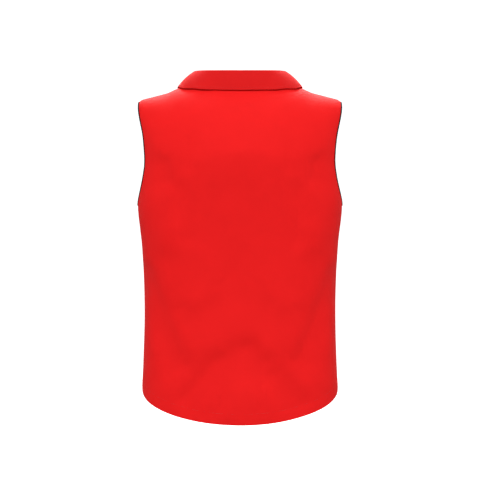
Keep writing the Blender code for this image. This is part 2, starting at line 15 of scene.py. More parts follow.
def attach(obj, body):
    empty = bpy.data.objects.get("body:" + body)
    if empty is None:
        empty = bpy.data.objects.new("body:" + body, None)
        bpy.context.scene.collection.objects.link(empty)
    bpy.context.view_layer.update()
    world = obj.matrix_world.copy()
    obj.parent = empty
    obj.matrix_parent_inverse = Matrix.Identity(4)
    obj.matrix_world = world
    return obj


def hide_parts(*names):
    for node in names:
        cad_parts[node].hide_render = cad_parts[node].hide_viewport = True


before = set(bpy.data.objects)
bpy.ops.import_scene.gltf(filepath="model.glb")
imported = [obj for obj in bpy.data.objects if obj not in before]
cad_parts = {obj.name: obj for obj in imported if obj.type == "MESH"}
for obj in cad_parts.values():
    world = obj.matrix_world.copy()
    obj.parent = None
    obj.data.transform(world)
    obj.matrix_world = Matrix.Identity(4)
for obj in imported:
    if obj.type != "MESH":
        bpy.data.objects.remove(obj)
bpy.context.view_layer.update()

# Cloth and seams.
CLOTH = 0.0013
COLLAR_CLOTH = 0.0018
BINDING_CLOTH = 0.0008
BINDING_GAP = 0.0003
SEAM_GAP = 0.0001
LAP_GAP = 0.0005
INSIDE_GAP = 0.0001

# The garment's form round the body. A section is a superellipse, squarer than an ellipse.
SQUARENESS = 2.55
SHOULDER_SLOPE = 0.25
NECK_HALF_WIDTH = 0.088
NECK_BACK_DEPTH = 0.045
NECK_FRONT_DEPTH = 0.076
RAMP_START = 0.118
RAMP_LENGTH = 0.031
RAMP_DROP = 0.0049
TIP_DROP_START = 0.194
TIP_DROP = 50.0
SHOULDER_TIP = 0.2035

# Armholes, as seen from the side.
UNDERARM = -0.243
ARMHOLE_WIDEST = -0.152
ARMHOLE_BACK_REACH = 0.052
ARMHOLE_FRONT_REACH = 0.060
ARMHOLE_FULLNESS = 0.92
BINDING_WIDTH = 0.0026

# Hem, a curve that is lowest at the centre of the back and highest at the side seams.
HEM_BACK = -0.6731
HEM_SIDE = -0.6050
HEM_FRONT = -0.6480
HEM_CURVE = 2.1
HEM_EASE = 0.06

# Fastening: the wearer's left front, on +X, laps over the right one.
LAP = 0.018
LAP_EASE = 0.045
BUTTON_RADIUS = 0.0080
BUTTON_DEPTH = 0.0032
BUTTON_RIM = 0.0018
BUTTON_WELL = 0.0010
TOP_BUTTON = -0.107
BUTTON_STEP = 0.108
BUTTONS = 5
BUTTON_SEAT = 0.0004
BUTTON_SHARP = 35
HOLE_RADIUS = 0.0009

# Collar.
COLLAR_LIFT = 0.0010
COLLAR_CLEAR = 0.0012
COLLAR_TURN = 0.0035
COLLAR_END = 0.0022
COLLAR_SLANT = math.radians(50)

# How finely each piece is cut up.
GRID = 0.0055
HALF_BACK = 0.275
SIDE_STEPS = 72
ARMHOLE_STEPS = 72
SHOULDER_STEPS = 24
BACK_NECK_STEPS = 26
FRONT_NECK_STEPS = 34
HEM_STEPS = 60
HEM_TURN_STEPS = 120
COLLAR_STEPS = 96
STAND_STEPS = 6
TURN_STEPS = 8
LEAF_STEPS = 14

# Sections of the body, from the hem up to the shoulder line. Depths count only below the crown.
SECTION_COLUMNS = ("height", "half_width", "back_depth", "front_depth")
SECTIONS = (
    (-0.700, 0.1975, 0.1220, 0.1190),
    (-0.610, 0.1958, 0.1190, 0.1190),
    (-0.540, 0.1932, 0.1120, 0.1180),
    (-0.460, 0.1917, 0.1070, 0.1180),
    (-0.390, 0.1932, 0.1065, 0.1200),
    (-0.320, 0.1970, 0.1100, 0.1230),
    (-0.243, 0.2048, 0.1150, 0.1250),
    (-0.190, 0.2008, 0.1178, 0.1250),
    (-0.160, 0.1993, 0.1180, 0.1250),
    (-0.100, 0.2022, 0.1180, 0.1250),
    (-0.050, 0.2105, 0.1180, 0.1250),
    (0.000, 0.2190, 0.1180, 0.1250),
)

# The crown is the stretch that curves over from the upright cloth to the shoulder line.
CROWN_COLUMNS = ("start", "fullness")
BACK_CROWN = (-0.160, 2.00)
FRONT_CROWN = (-0.210, 1.60)

# Soft folds and hollows. A line from one end to the other on the cloth as seen square on,
# how far the fold spreads above and below the line, and how far the cloth stands out there.
# side is 1 on the back and -1 on the front.
FOLD_COLUMNS = ("side", "from_x", "from_z", "to_x", "to_z", "above", "below", "out")
FOLDS = (
    (1, 0.016, -0.142, 0.066, -0.164, 0.024, 0.050, 0.0032),
    (1, -0.026, -0.140, -0.072, -0.163, 0.024, 0.050, 0.0032),
    (1, 0.150, -0.166, 0.146, -0.196, 0.016, 0.036, -0.0042),
    (1, -0.151, -0.164, -0.147, -0.194, 0.016, 0.036, -0.0044),
    (1, 0.112, -0.214, 0.106, -0.310, 0.016, 0.016, -0.0030),
    (1, -0.112, -0.218, -0.110, -0.318, 0.016, 0.016, -0.0030),
    (1, 0.144, -0.300, 0.142, -0.316, 0.036, 0.024, 0.0042),
    (1, -0.144, -0.304, -0.142, -0.322, 0.036, 0.024, 0.0042),
    (1, 0.086, -0.428, 0.060, -0.412, 0.080, 0.026, 0.0044),
    (1, -0.060, -0.414, -0.088, -0.432, 0.080, 0.026, 0.0046),
    (1, 0.084, -0.516, 0.064, -0.518, 0.070, 0.036, 0.0048),
    (1, -0.064, -0.516, -0.084, -0.512, 0.070, 0.036, 0.0048),
    (1, 0.188, -0.376, 0.118, -0.556, 0.018, 0.038, -0.0048),
    (1, -0.187, -0.382, -0.120, -0.546, 0.018, 0.038, -0.0048),
    (1, 0.046, -0.547, 0.104, -0.622, 0.018, 0.042, -0.0048),
    (1, -0.020, -0.522, -0.044, -0.552, 0.018, 0.040, -0.0046),
    (1, -0.070, -0.580, -0.120, -0.630, 0.018, 0.038, -0.0044),
    (1, 0.004, -0.652, -0.004, -0.668, 0.074, 0.030, 0.0046),
    (-1, 0.095, -0.205, 0.090, -0.240, 0.048, 0.048, 0.0045),
    (-1, -0.095, -0.205, -0.090, -0.240, 0.048, 0.048, 0.0045),
    (-1, 0.140, -0.110, 0.150, -0.190, 0.024, 0.026, -0.0040),
    (-1, -0.142, -0.115, -0.150, -0.185, 0.024, 0.026, -0.0042),
    (-1, 0.172, -0.330, 0.118, -0.540, 0.018, 0.036, -0.0044),
    (-1, -0.170, -0.340, -0.124, -0.530, 0.018, 0.036, -0.0044),
    (-1, 0.080, -0.360, 0.070, -0.600, 0.032, 0.032, 0.0036),
    (-1, -0.082, -0.340, -0.074, -0.590, 0.030, 0.030, 0.0034),
)
FOLD_FADE = 0.030

# Sections of half the collar, by the angle round the neck from the centre of the back.
# The roll is where the stand turns over into the leaf, and the edge is where the leaf ends in plan.
# leaf_sag is how far the leaf hangs below a straight line from roll to edge. It is negative for a bulge.
COLLAR_TABLE_COLUMNS = ("angle", "roll_height", "roll_out", "edge_x", "edge_y", "leaf_sag")
COLLAR_TABLE = (
    (0.0, 0.0226, -0.0010, 0.0000, 0.0578, 0.0000),
    (30.0, 0.0232, 0.0000, 0.0450, 0.0560, 0.0000),
    (60.0, 0.0246, 0.0010, 0.0900, 0.0500, -0.0020),
    (75.0, 0.0250, 0.0014, 0.1150, 0.0340, -0.0030),
    (90.0, 0.0250, 0.0026, 0.1240, 0.0000, -0.0040),
    (115.0, 0.0110, 0.0035, 0.1125, -0.0440, -0.0025),
    (140.0, -0.0180, 0.0035, 0.0790, -0.0760, -0.0020),
    (160.0, -0.0450, 0.0030, 0.0560, -0.0920, -0.0010),
    (180.0, -0.0600, 0.0030, 0.0420, -0.1020, 0.0000),
)

BACK, FRONT = 1, -1

# Sewing.
SEAM_DIP = 0.0006
SEAM_DIP_WIDTH = 0.0026
HEM_STITCH = 0.0215
HEM_DIP = 0.00045
HEM_DIP_WIDTH = 0.0022
HEM_BULGE = 0.00025
HEM_CLOTH = 0.0008
STITCH_PITCH = 0.0030
STITCH_LENGTH = 0.0021
THREAD = 0.00020
THREAD_SIDES = 6
STRAND = 0.00024
STRAND_STEP = 0.00036
STRAND_SINK = 0.0012
STRAND_ARCH = 0.0017
EDGE_STITCH = 0.0055
COLLAR_STITCH = 0.0050
ALLOWANCE = 0.0095
SEAM_COVER = 0.0015
NECK_RISE = 0.0030
NECK_REACH = 0.0050
NECK_END = 0.0870
NECK_CLEAR = 0.0006
NECK_INSET = 0.0004
HEM_END = 0.999
HEM_SEWN = 0.995
HEM_INSET = 0.02
SIDE_SEWN = (HEM_SIDE + 0.001, UNDERARM - 0.002)
SHOULDER_SEWN = (0.092, SHOULDER_TIP - 0.004)
SIDES = (("left", 1), ("right", -1))
COLLAR_SECTIONS = 30

# Waves along the collar's edge: height, radians per metre, and phase.
COLLAR_WAVES = ((0.0005, 31, 0.6), (0.00035, 73, 2.0), (0.0002, 127, 0.0))

# How high a stitch's thread stands along its length, in its own radii.
STITCH_ARCH = ((0.0, -0.6), (0.2, 0.7), (0.5, 1.0), (0.8, 0.7), (1.0, -0.6))

# The binding's outer face: how far in from the edge, as a share of its width, and how thick there.
BINDING_PROFILE = ((1.0, 0.15), (0.93, 0.8), (0.6, 1.12), (0.2, 1.0))

# Its inner face: how far in from the edge, how far past it as a share of the gap, and on which side.
BINDING_LINING = (
    (1.0, 0.0, -1), (0.2, 0.0, -1), (0.0, 0.9, -1), (0.0, 0.9, 1), (0.2, 0.0, 1), (1.0, 0.0, 1),
)

# Buttonholes.
HOLE_HALF_LENGTH = 0.0108
HOLE_HALF_WIDTH = 0.0015
HOLE_RISE = 0.0025
HOLE_STITCH = (0.0007, 0.00022)
HOLE_STITCH_RISE = 0.00028

# Finer creases, in the columns of FOLDS.
CREASES = (
    (1, 0.000, -0.160, 0.000, -0.430, 0.012, 0.012, -0.0006),
    (1, 0.034, -0.604, 0.036, -0.640, 0.006, 0.006, -0.0010),
    (1, -0.040, -0.604, -0.038, -0.640, 0.006, 0.006, -0.0010),
    (1, 0.047, -0.606, 0.072, -0.640, 0.008, 0.012, 0.0010),
    (1, -0.051, -0.604, -0.066, -0.644, 0.008, 0.012, 0.0010),
    (1, 0.186, -0.440, 0.172, -0.530, 0.010, 0.010, 0.0010),
    (1, -0.186, -0.450, -0.174, -0.540, 0.010, 0.010, 0.0010),
    (1, 0.096, -0.120, 0.098, -0.178, 0.009, 0.009, -0.0010),
    (1, -0.092, -0.124, -0.094, -0.176, 0.009, 0.009, -0.0010),
    (-1, 0.176, -0.150, 0.100, -0.212, 0.010, 0.014, 0.0014),
    (-1, -0.174, -0.158, -0.104, -0.222, 0.010, 0.014, 0.0014),
    (-1, 0.150, -0.230, 0.120, -0.340, 0.012, 0.014, -0.0014),
    (-1, -0.148, -0.236, -0.124, -0.352, 0.012, 0.014, -0.0014),
    (-1, 0.180, -0.360, 0.112, -0.530, 0.011, 0.014, -0.0014),
    (-1, -0.182, -0.350, -0.118, -0.505, 0.011, 0.014, -0.0014),
    (-1, 0.060, -0.150, 0.128, -0.196, 0.012, 0.014, 0.0009),
    (-1, -0.058, -0.156, -0.130, -0.206, 0.012, 0.014, 0.0009),
    (-1, 0.030, -0.300, 0.092, -0.344, 0.009, 0.012, -0.0010),
    (-1, -0.034, -0.420, -0.098, -0.458, 0.009, 0.012, -0.0010),
)

# Long waves: how fast each turns along X, Y and Z in radians per metre, its phase, and its height.
SWAYS = (
    (61.0, 23.0, 31.0, 0.3, 0.00014),
    (-47.0, 37.0, 59.0, 1.7, 0.00012),
    (29.0, -53.0, 83.0, 2.9, 0.00010),
    (107.0, 41.0, -37.0, 4.1, 0.00008),
    (-89.0, 67.0, 101.0, 5.3, 0.00006),
    (139.0, -71.0, 127.0, 0.9, 0.00005),
)

# Photo and camera.
FRAME_PIXELS = 492
PIXEL = 0.00201
CAMERA_DISTANCE = 3.2
VIEW_HEIGHT = -0.326
AXIS_PIXELS_LEFT = 6
FLOOR = -1.05
FLOOR_GLOW = 0.62
WALL_RADIUS = 9.0
WALL_CURVE = 2.0
WALL_HEIGHT = 9.0
WORLD_LIGHT = 0.45

# Lights: where each is, what it faces, its width and height, and its power in watts.
LIGHTS = (
    ("key", (0.0, 4.0, 4.1), (0, 0, -0.33), (4.0, 2.0), 208),
    ("top", (0.0, -2.3, 2.3), (0, 0, -0.05), (2.4, 0.9), 160),
    ("front", (0.0, -3.5, 4.7), (0, 0, -0.33), (4.0, 2.0), 190),
    ("side_left", (-4.0, 1.2, 0.6), (0, 0, -0.40), (2.0, 2.0), 28),
    ("side_right", (4.0, 1.2, 0.6), (0, 0, -0.40), (2.0, 2.0), 28),
    ("low", (0.0, 4.6, -0.5), (0, 0, -0.55), (3.0, 0.6), 24),
)

# Colours.
CLOTH_DARK = (0.78, 0.0068, 0.0072)
CLOTH_LIGHT = (0.88, 0.0092, 0.0096)
# The collar's two reds are the body's reds made darker, as painted shade: the collar is the same cloth.
COLLAR_PAINTED_SHADE_DARK = (0.61, 0.0074, 0.0078)
COLLAR_PAINTED_SHADE_LIGHT = (0.69, 0.0096, 0.0100)
BLACK_DARK = (0.006, 0.006, 0.008)
BLACK_LIGHT = (0.014, 0.014, 0.018)
THREAD_RED = (0.62, 0.0080, 0.0090)
BUTTON_DARK = (0.42, 0.006, 0.008)
BUTTON_LIGHT = (0.58, 0.012, 0.014)
SHEEN_TINT = (1.0, 0.14, 0.12)

# Threads to a metre are one over these.
CLOTH_PITCH = 0.00055
TAPE_PITCH = 0.00045

# Where a button's holes are from its middle.
BUTTON_HOLES = ((0.0016, 0.0016), (-0.0016, 0.0016), (-0.0016, -0.0016), (0.0016, -0.0016))

# The cuts of what shows: width, length and area.
BACK_CUT = (0.55, 0.72, 0.320)
FRONT_CUT = (0.30, 0.70, 0.160)
COLLAR_CUT = (0.10, 0.62, 0.045)
BINDING_CUT = (0.0100, 0.52, 0.0052)


def column(names, rows, name):
    return np.array([row[names.index(name)] for row in rows])


def curve_through(keys, values, at):
    """A smooth curve through a table's values, with each slope taken from the neighbours."""
    slopes = np.gradient(values, keys)
    at = np.clip(at, keys[0], keys[-1])
    i = np.clip(np.searchsorted(keys, at, side="right") - 1, 0, len(keys) - 2)
    span = keys[i + 1] - keys[i]
    t = (at - keys[i]) / span
    return (
        values[i] * (1 + 2 * t) * (1 - t) ** 2
        + slopes[i] * span * t * (1 - t) ** 2
        + values[i + 1] * t**2 * (3 - 2 * t)
        + slopes[i + 1] * span * t**2 * (t - 1)
    )


def ease(t):
    t = np.clip(t, 0.0, 1.0)
    return t * t * (3 - 2 * t)


def run_of(points):
    """The distance along a row of points."""
    steps = np.linalg.norm(np.diff(points, axis=0), axis=1)
    return np.concatenate([[0.0], np.cumsum(steps)])


def section_size(name, height):
    keys = column(SECTION_COLUMNS, SECTIONS, "height")
    return curve_through(keys, column(SECTION_COLUMNS, SECTIONS, name), height)


def quarter_curve(power, width, depth, samples=1441):
    """A quarter of a superellipse as unit offsets, by the share of its length."""
    angle = np.linspace(0.0, math.pi / 2, samples)
    first = np.sin(angle) ** (2 / power)
    second = np.abs(np.cos(angle)) ** (2 / power)
    run = run_of(np.stack([first * width, second * depth], axis=1))
    return run / run[-1], first, second, run[-1]


GIRTH_SHARE, ACROSS, OUT, _ = quarter_curve(SQUARENESS, 0.200, 0.118)


class Form:
    """The outer skin of the back or the front, by girth (0 at the centre, 1 at the side) and level.

    A level is a length up the centre line from where the crown starts, negative below it.
    """

    def __init__(self, side):
        self.side = side
        crown = dict(zip(CROWN_COLUMNS, BACK_CROWN if side == BACK else FRONT_CROWN))
        self.start = crown["start"]
        self.depth_name = "back_depth" if side == BACK else "front_depth"
        self.crown_depth = float(section_size(self.depth_name, self.start))
        share, rise, out, length = quarter_curve(crown["fullness"], -self.start, self.crown_depth)
        self.levels, self.rise, self.crown_out = share * length, rise, out
        self.top = length

    def sizes(self, level):
        """Half width and depth at a level, and how far up the crown it is, as a share."""
        up = np.maximum(level, 0.0)
        rise, out = (np.interp(up, self.levels, share) for share in (self.rise, self.crown_out))
        height = np.where(level < 0, self.start + level, self.start * (1 - rise))
        depth = np.where(level < 0, section_size(self.depth_name, height), self.crown_depth)
        return section_size("half_width", height), depth * out, rise

    def point(self, girth, level):
        girth, level = np.broadcast_arrays(np.asarray(girth, float), np.asarray(level, float))
        half_width, depth, rise = self.sizes(level)
        x = half_width * np.sign(girth) * np.interp(np.abs(girth), GIRTH_SHARE, ACROSS)
        y = self.side * depth * np.interp(np.abs(girth), GIRTH_SHARE, OUT)
        z = np.where(level < 0, self.start + level, self.start + (ridge(x) - self.start) * rise)
        return np.stack([x, y, z], axis=-1)

    def girth_at(self, x, level):
        half_width, _, _ = self.sizes(level)
        return np.sign(x) * np.interp(np.abs(x) / half_width, ACROSS, GIRTH_SHARE)

    def places(self, x, level):
        """Girths and levels of points that far to the side."""
        return np.stack([self.girth_at(x, level), level], axis=-1)

    def level_above(self, x, y):
        """The level on the crown over places in plan."""
        x, y = np.abs(x), np.abs(y)
        level = np.full(np.shape(x), self.top * 0.7)
        for _ in range(14):
            out = y / (self.crown_depth * np.interp(np.abs(self.girth_at(x, level)), GIRTH_SHARE, OUT))
            level = np.interp(out, self.crown_out[::-1], self.levels[::-1])
        return level

    def level_at(self, x, z):
        share = (z - self.start) / (ridge(x) - self.start)
        return np.where(z < self.start, z - self.start, np.interp(share, self.rise, self.levels))

    def place_from_side(self, y, z):
        """Girths and levels of the skin's points that a view from the side shows at y and z."""
        low, high = np.full(len(y), 0.1), np.full(len(y), 0.3)
        for _ in range(40):
            x = (low + high) / 2
            level = self.level_at(x, z)
            girth = self.girth_at(x, level)
            nearer = (np.abs(self.point(girth, level)[:, 1]) > np.abs(y)) & (girth < 1)
            low, high = np.where(nearer, x, low), np.where(nearer, high, x)
        return self.places(low, self.level_at(low, z))


def ridge(x):
    """Height of the shoulder line, steeper where it leaves the collar and rounded off at the armhole."""
    x = np.abs(x)
    slope = SHOULDER_SLOPE * np.maximum(x - NECK_HALF_WIDTH, 0.0)
    ramp = RAMP_DROP * ease((x - RAMP_START) / RAMP_LENGTH)
    return -slope - ramp - TIP_DROP * np.maximum(x - TIP_DROP_START, 0.0) ** 2


FORMS = {BACK: Form(BACK), FRONT: Form(FRONT)}


def spread_evenly(form, places, count):
    """That many steps along a line of girths and levels, equal in length on the skin."""
    places = np.array(places, float)
    run = run_of(form.point(places[:, 0], places[:, 1]))
    at = np.linspace(0, run[-1], count + 1)
    return np.stack([np.interp(at, run, places[:, k]) for k in range(2)], axis=1)


def straight(form, start, end, count):
    share = np.linspace(0, 1, 241)[:, None]
    return spread_evenly(form, np.array(start) * (1 - share) + np.array(end) * share, count)


def hem_height(side, girth):
    """A parabola that flattens a little where it meets the side seam."""
    centre = HEM_BACK if side == BACK else HEM_FRONT
    girth = np.abs(girth)
    share = girth**HEM_CURVE * (1 - HEM_EASE * girth**8) / (1 - HEM_EASE)
    return centre + (HEM_SIDE - centre) * share


def hem_line(form, start_girth, end_girth=1.0, count=HEM_STEPS):
    girths = np.linspace(start_girth, end_girth, 241)
    levels = hem_height(form.side, girths) - form.start
    return spread_evenly(form, np.stack([girths, levels], axis=1), count)


def hem_slope(side, girth):
    """How far the hem rises for a metre of girth."""
    return (hem_height(side, girth + 0.01) - hem_height(side, girth - 0.01)) / (0.02 * HALF_BACK)


def armhole_line(form):
    """From the underarm up to the shoulder tip."""
    reach = ARMHOLE_BACK_REACH if form.side == BACK else ARMHOLE_FRONT_REACH
    tip = float(ridge(SHOULDER_TIP))
    angle = np.linspace(0.0, math.pi, 289)
    part = np.where(angle < math.pi / 2, ARMHOLE_WIDEST - UNDERARM, tip - ARMHOLE_WIDEST)
    z = ARMHOLE_WIDEST - np.cos(angle) * part
    y = reach * np.maximum(np.sin(angle), 0.0) ** ARMHOLE_FULLNESS
    places = form.place_from_side(y, z)
    places[0] = (1.0, UNDERARM - form.start)
    places[-1] = (form.girth_at(SHOULDER_TIP, form.top), form.top)
    return spread_evenly(form, places, ARMHOLE_STEPS)


def beside(form, line, distance):
    """A line of places that far to the right of another one, on the skin."""
    points = form.point(line[:, 0], line[:, 1])
    along = np.gradient(points, axis=0)
    across, up = tangents(form, line)
    right = np.cross(along, np.cross(across, up))
    right *= distance / np.linalg.norm(right, axis=1, keepdims=True)
    moved = []
    for place, step, a, u in zip(line, right, across, up):
        share = np.linalg.lstsq(np.stack([a, u], axis=1), step, rcond=None)[0]
        moved.append(place + share)
    return np.array(moved)


def tangents(form, places, step=0.002):
    """How far the skin goes for a unit of girth and a unit of level."""
    girth, level = places[..., 0], places[..., 1]
    across = form.point(girth + step, level) - form.point(girth - step, level)
    up = form.point(girth, level + step) - form.point(girth, level - step)
    return across / (2 * step), up / (2 * step)


def binding_line(form, armhole):
    """Where the binding ends on the cloth. Its own ends lie on the side seam and on the shoulder seam."""
    line = beside(form, armhole, -BINDING_WIDTH)
    line[0] = (1.0, armhole[0, 1] - BINDING_WIDTH)
    line[-1] = (form.girth_at(SHOULDER_TIP - BINDING_WIDTH, form.top), form.top)
    return line


def neck_place(angle):
    """A point of the neck seam in plan, by the angle from the centre of the back."""
    depth = np.where(np.cos(angle) >= 0, NECK_BACK_DEPTH, NECK_FRONT_DEPTH)
    return NECK_HALF_WIDTH * np.sin(angle), depth * np.cos(angle)


def neck_line(form, start_x, count):
    """From the centre, or from the lap's edge, to the shoulder seam."""
    angles = np.linspace(math.asin(start_x / NECK_HALF_WIDTH), math.pi / 2, 241)
    x, y = neck_place(angles if form.side == BACK else math.pi - angles)
    places = form.places(x, form.level_above(x, y))
    places[-1] = (form.girth_at(NECK_HALF_WIDTH, form.top), form.top)
    return spread_evenly(form, places, count)


def front_edge(form, top):
    """Down the edge of the lap, with a place on each row of the grid."""
    foot = hem_height(FRONT, 0.0) - form.start
    levels = np.arange(math.floor(top[1] / GRID), foot / GRID, -1) * GRID
    levels = levels[(levels < top[1] - GRID / 3) & (levels > foot + GRID / 3)]
    return form.places(np.full(len(levels), -LAP), levels)


def half_outline(form, start_x, neck_steps):
    """Places round a half piece from the foot of its inner edge, and the line where the binding ends."""
    armhole = armhole_line(form)
    strip = binding_line(form, armhole)
    neck = neck_line(form, start_x, neck_steps)
    foot = float(form.girth_at(start_x, hem_height(form.side, 0.0) - form.start))
    hem = hem_line(form, foot)
    side_seam = straight(form, hem[-1], strip[0], SIDE_STEPS)
    shoulder = straight(form, strip[-1], neck[-1], SHOULDER_STEPS)
    return np.concatenate([hem, side_seam[1:], armhole, shoulder, neck[-2::-1]]), strip


def inside(outline, points):
    """Which flat points lie inside a closed outline."""
    found = np.zeros(len(points), bool)
    for (x0, y0), (x1, y1) in zip(outline, np.roll(outline, -1, axis=0)):
        if y0 == y1:
            continue
        crosses = (points[:, 1] >= min(y0, y1)) & (points[:, 1] < max(y0, y1))
        at = x0 + (points[:, 1] - y0) * (x1 - x0) / (y1 - y0)
        found ^= crosses & (points[:, 0] < at)
    return found


def distance_from(line, points):
    """How far flat points are from a line of flat points."""
    nearest = np.full(len(points), np.inf)
    for start, end in zip(line[:-1], line[1:]):
        along = end - start
        share = np.clip(((points - start) @ along) / (along @ along), 0, 1)
        nearest = np.minimum(nearest, np.linalg.norm(points - start - share[:, None] * along, axis=1))
    return nearest


def cut_out(outline, strips):
    """Triangles over a pattern piece: its outline, the lines of its strips, and a grid inside them."""
    flat = np.array([HALF_BACK, 1.0])
    rounds = math.ceil(HALF_BACK * 1.1 / GRID)
    low, high = outline[:, 1].min(), outline[:, 1].max()
    across = np.arange(-rounds, rounds + 1) * GRID
    up = np.arange(math.floor(low / GRID), math.ceil(high / GRID) + 1) * GRID
    grid = np.stack(np.meshgrid(across, up), axis=-1).reshape(-1, 2)
    ring_line = np.concatenate([outline, outline[:1]]) * flat
    grid = grid[inside(outline * flat, grid) & (distance_from(ring_line, grid) > GRID * 0.45)]
    places, edges = [outline], [(i, (i + 1) % len(outline)) for i in range(len(outline))]
    count = len(outline)
    for strip in strips:
        grid = grid[distance_from(strip * flat, grid) > GRID * 0.45]
        ends = [int(np.argmin(np.abs(outline - strip[k]).sum(axis=1))) for k in (0, -1)]
        middle = list(range(count, count + len(strip) - 2))
        chain = [ends[0], *middle, ends[1]]
        edges += list(zip(chain[:-1], chain[1:]))
        places.append(strip[1:-1])
        count += len(strip) - 2
    places = np.concatenate([*places, grid / flat])
    verts = [Vector(place) for place in (places * flat).tolist()]
    result = delaunay_2d_cdt(verts, edges, [], 1, 1e-7)
    source = [ids[0] for ids in result[3]]
    return places, [[source[k] for k in face] for face in result[2]]


def fold_out(side, points):
    """How far the folds move each point out. Past its ends a fold spreads by the lesser width."""
    moved = np.zeros(points.shape[:-1])
    for fold in (dict(zip(FOLD_COLUMNS, row)) for row in FOLDS + CREASES):
        if fold["side"] != side:
            continue
        start = np.array([fold["from_x"], fold["from_z"]])
        line = np.array([fold["to_x"], fold["to_z"]]) - start
        place = points[..., [0, 2]] - start
        share = np.clip((place @ line) / (line @ line), 0, 1)
        offset = place - share[..., None] * line
        away = np.linalg.norm(offset, axis=-1)
        upward = unit(np.array([-line[1], line[0]]) * (1 if line[0] >= 0 else -1))
        upper = (offset @ upward) / np.maximum(away, 1e-6)
        narrow = min(fold["above"], fold["below"])
        spread = narrow + np.maximum(upper, 0) * (fold["above"] - narrow)
        spread += np.maximum(-upper, 0) * (fold["below"] - narrow)
        moved += fold["out"] * np.exp(-((away / spread) ** 2))
    return moved * ease(points[..., 1] * side / FOLD_FADE)


def unit(vectors):
    return vectors / np.linalg.norm(vectors, axis=-1, keepdims=True)


def sway(points):
    """Slight unevenness of the cloth, as a sum of long waves that don't repeat over the garment."""
    x, y, z = points[..., 0], points[..., 1], points[..., 2]
    total = np.zeros(x.shape)
    for kx, ky, kz, phase, size in SWAYS:
        total += size * np.sin(kx * x + ky * y + kz * z + phase)
    return total


def ripple(run, length, phase=0.0):
    return np.sin(run * 2 * math.pi / length + phase)


def seam_dip(form, places, points):
    """Cloth pulled in along the side and shoulder seams, and along the hem's stitching."""
    along = points[..., 2] + points[..., 0] * 0.6
    pucker = 1 + 0.35 * ripple(along, 0.0105) + 0.25 * ripple(along, 0.0237, 1.0)
    on_armhole = (np.abs(points[..., 0]) < SHOULDER_TIP + 0.001) & (places[..., 1] < form.top - 0.02)
    sewn = np.where(on_armhole & (points[..., 2] > UNDERARM), 0.0, 1.0)
    dip = -SEAM_DIP * pucker * np.exp(-((points[..., 1] / SEAM_DIP_WIDTH) ** 2)) * sewn
    girth = np.clip(np.abs(places[..., 0]), 0, 1)
    rise = points[..., 2] - hem_height(form.side, girth)
    above = rise / np.sqrt(1 + hem_slope(form.side, girth) ** 2)
    arc = places[..., 0] * HALF_BACK
    wave = 1 + 0.5 * ripple(arc, 0.0118, above * 180) + 0.35 * ripple(arc, 0.031, 2.0)
    dip -= HEM_DIP * wave * np.exp(-(((above - HEM_STITCH) / HEM_DIP_WIDTH) ** 2))
    band = ease((HEM_STITCH - above) / 0.004) * ease(above / 0.004)
    return dip + HEM_BULGE * band * wave


def skin_points(form, places):
    """The folded skin with its creases."""
    places = np.stack([np.clip(places[..., 0], -1, 1), np.minimum(places[..., 1], form.top)], axis=-1)
    points = form.point(places[..., 0], places[..., 1])
    across, up = tangents(form, places)
    out = fold_out(form.side, points) + seam_dip(form, places, points)
    out += sway(points) * ease(np.abs(points[..., 1]) / 0.02)
    return points + unit(np.cross(across, up) * -form.side) * out[..., None]


def skin(form, places, step=0.0015):
    """The folded skin, held off the seams' plane, and its normals, which lie in that plane along a seam."""
    points = skin_points(form, places)
    girth, level = np.array([step, 0.0]), np.array([0.0, step])
    across = skin_points(form, places + girth) - skin_points(form, places - girth)
    up = skin_points(form, places + level) - skin_points(form, places - level)
    normals = unit(np.cross(across, up) * -form.side)
    normals[np.abs(points[..., 1]) < SEAM_GAP, 1] = 0.0
    points[..., 1] = form.side * np.maximum(points[..., 1] * form.side, SEAM_GAP / 2)
    return points, unit(normals)


def body_point(x, y):
    """The skin over places in plan, near the neck."""
    x, y = np.broadcast_arrays(np.asarray(x, float), np.asarray(y, float))
    found = []
    for form in (FORMS[BACK], FORMS[FRONT]):
        level = form.level_above(x, y)
        found.append(form.point(form.girth_at(x, level), level))
    return np.where((y >= 0)[..., None], *found)


def body_normal(x, y, step=0.002):
    along_x = body_point(x + step, y) - body_point(x - step, y)
    along_y = body_point(x, y + step) - body_point(x, y - step)
    return unit(np.cross(along_x, along_y))


def leaf_cleared(points):
    """Points of the leaf, moved up to where its wall clears the cloth below."""
    below, normals = body_point(points[:, 0], points[:, 1]), body_normal(points[:, 0], points[:, 1])
    short = (COLLAR_CLOTH + COLLAR_CLEAR) / np.maximum(normals[:, 2], 0.3) - (points[:, 2] - below[:, 2])
    return points + np.maximum(short, 0.0)[:, None] * [0, 0, 1]


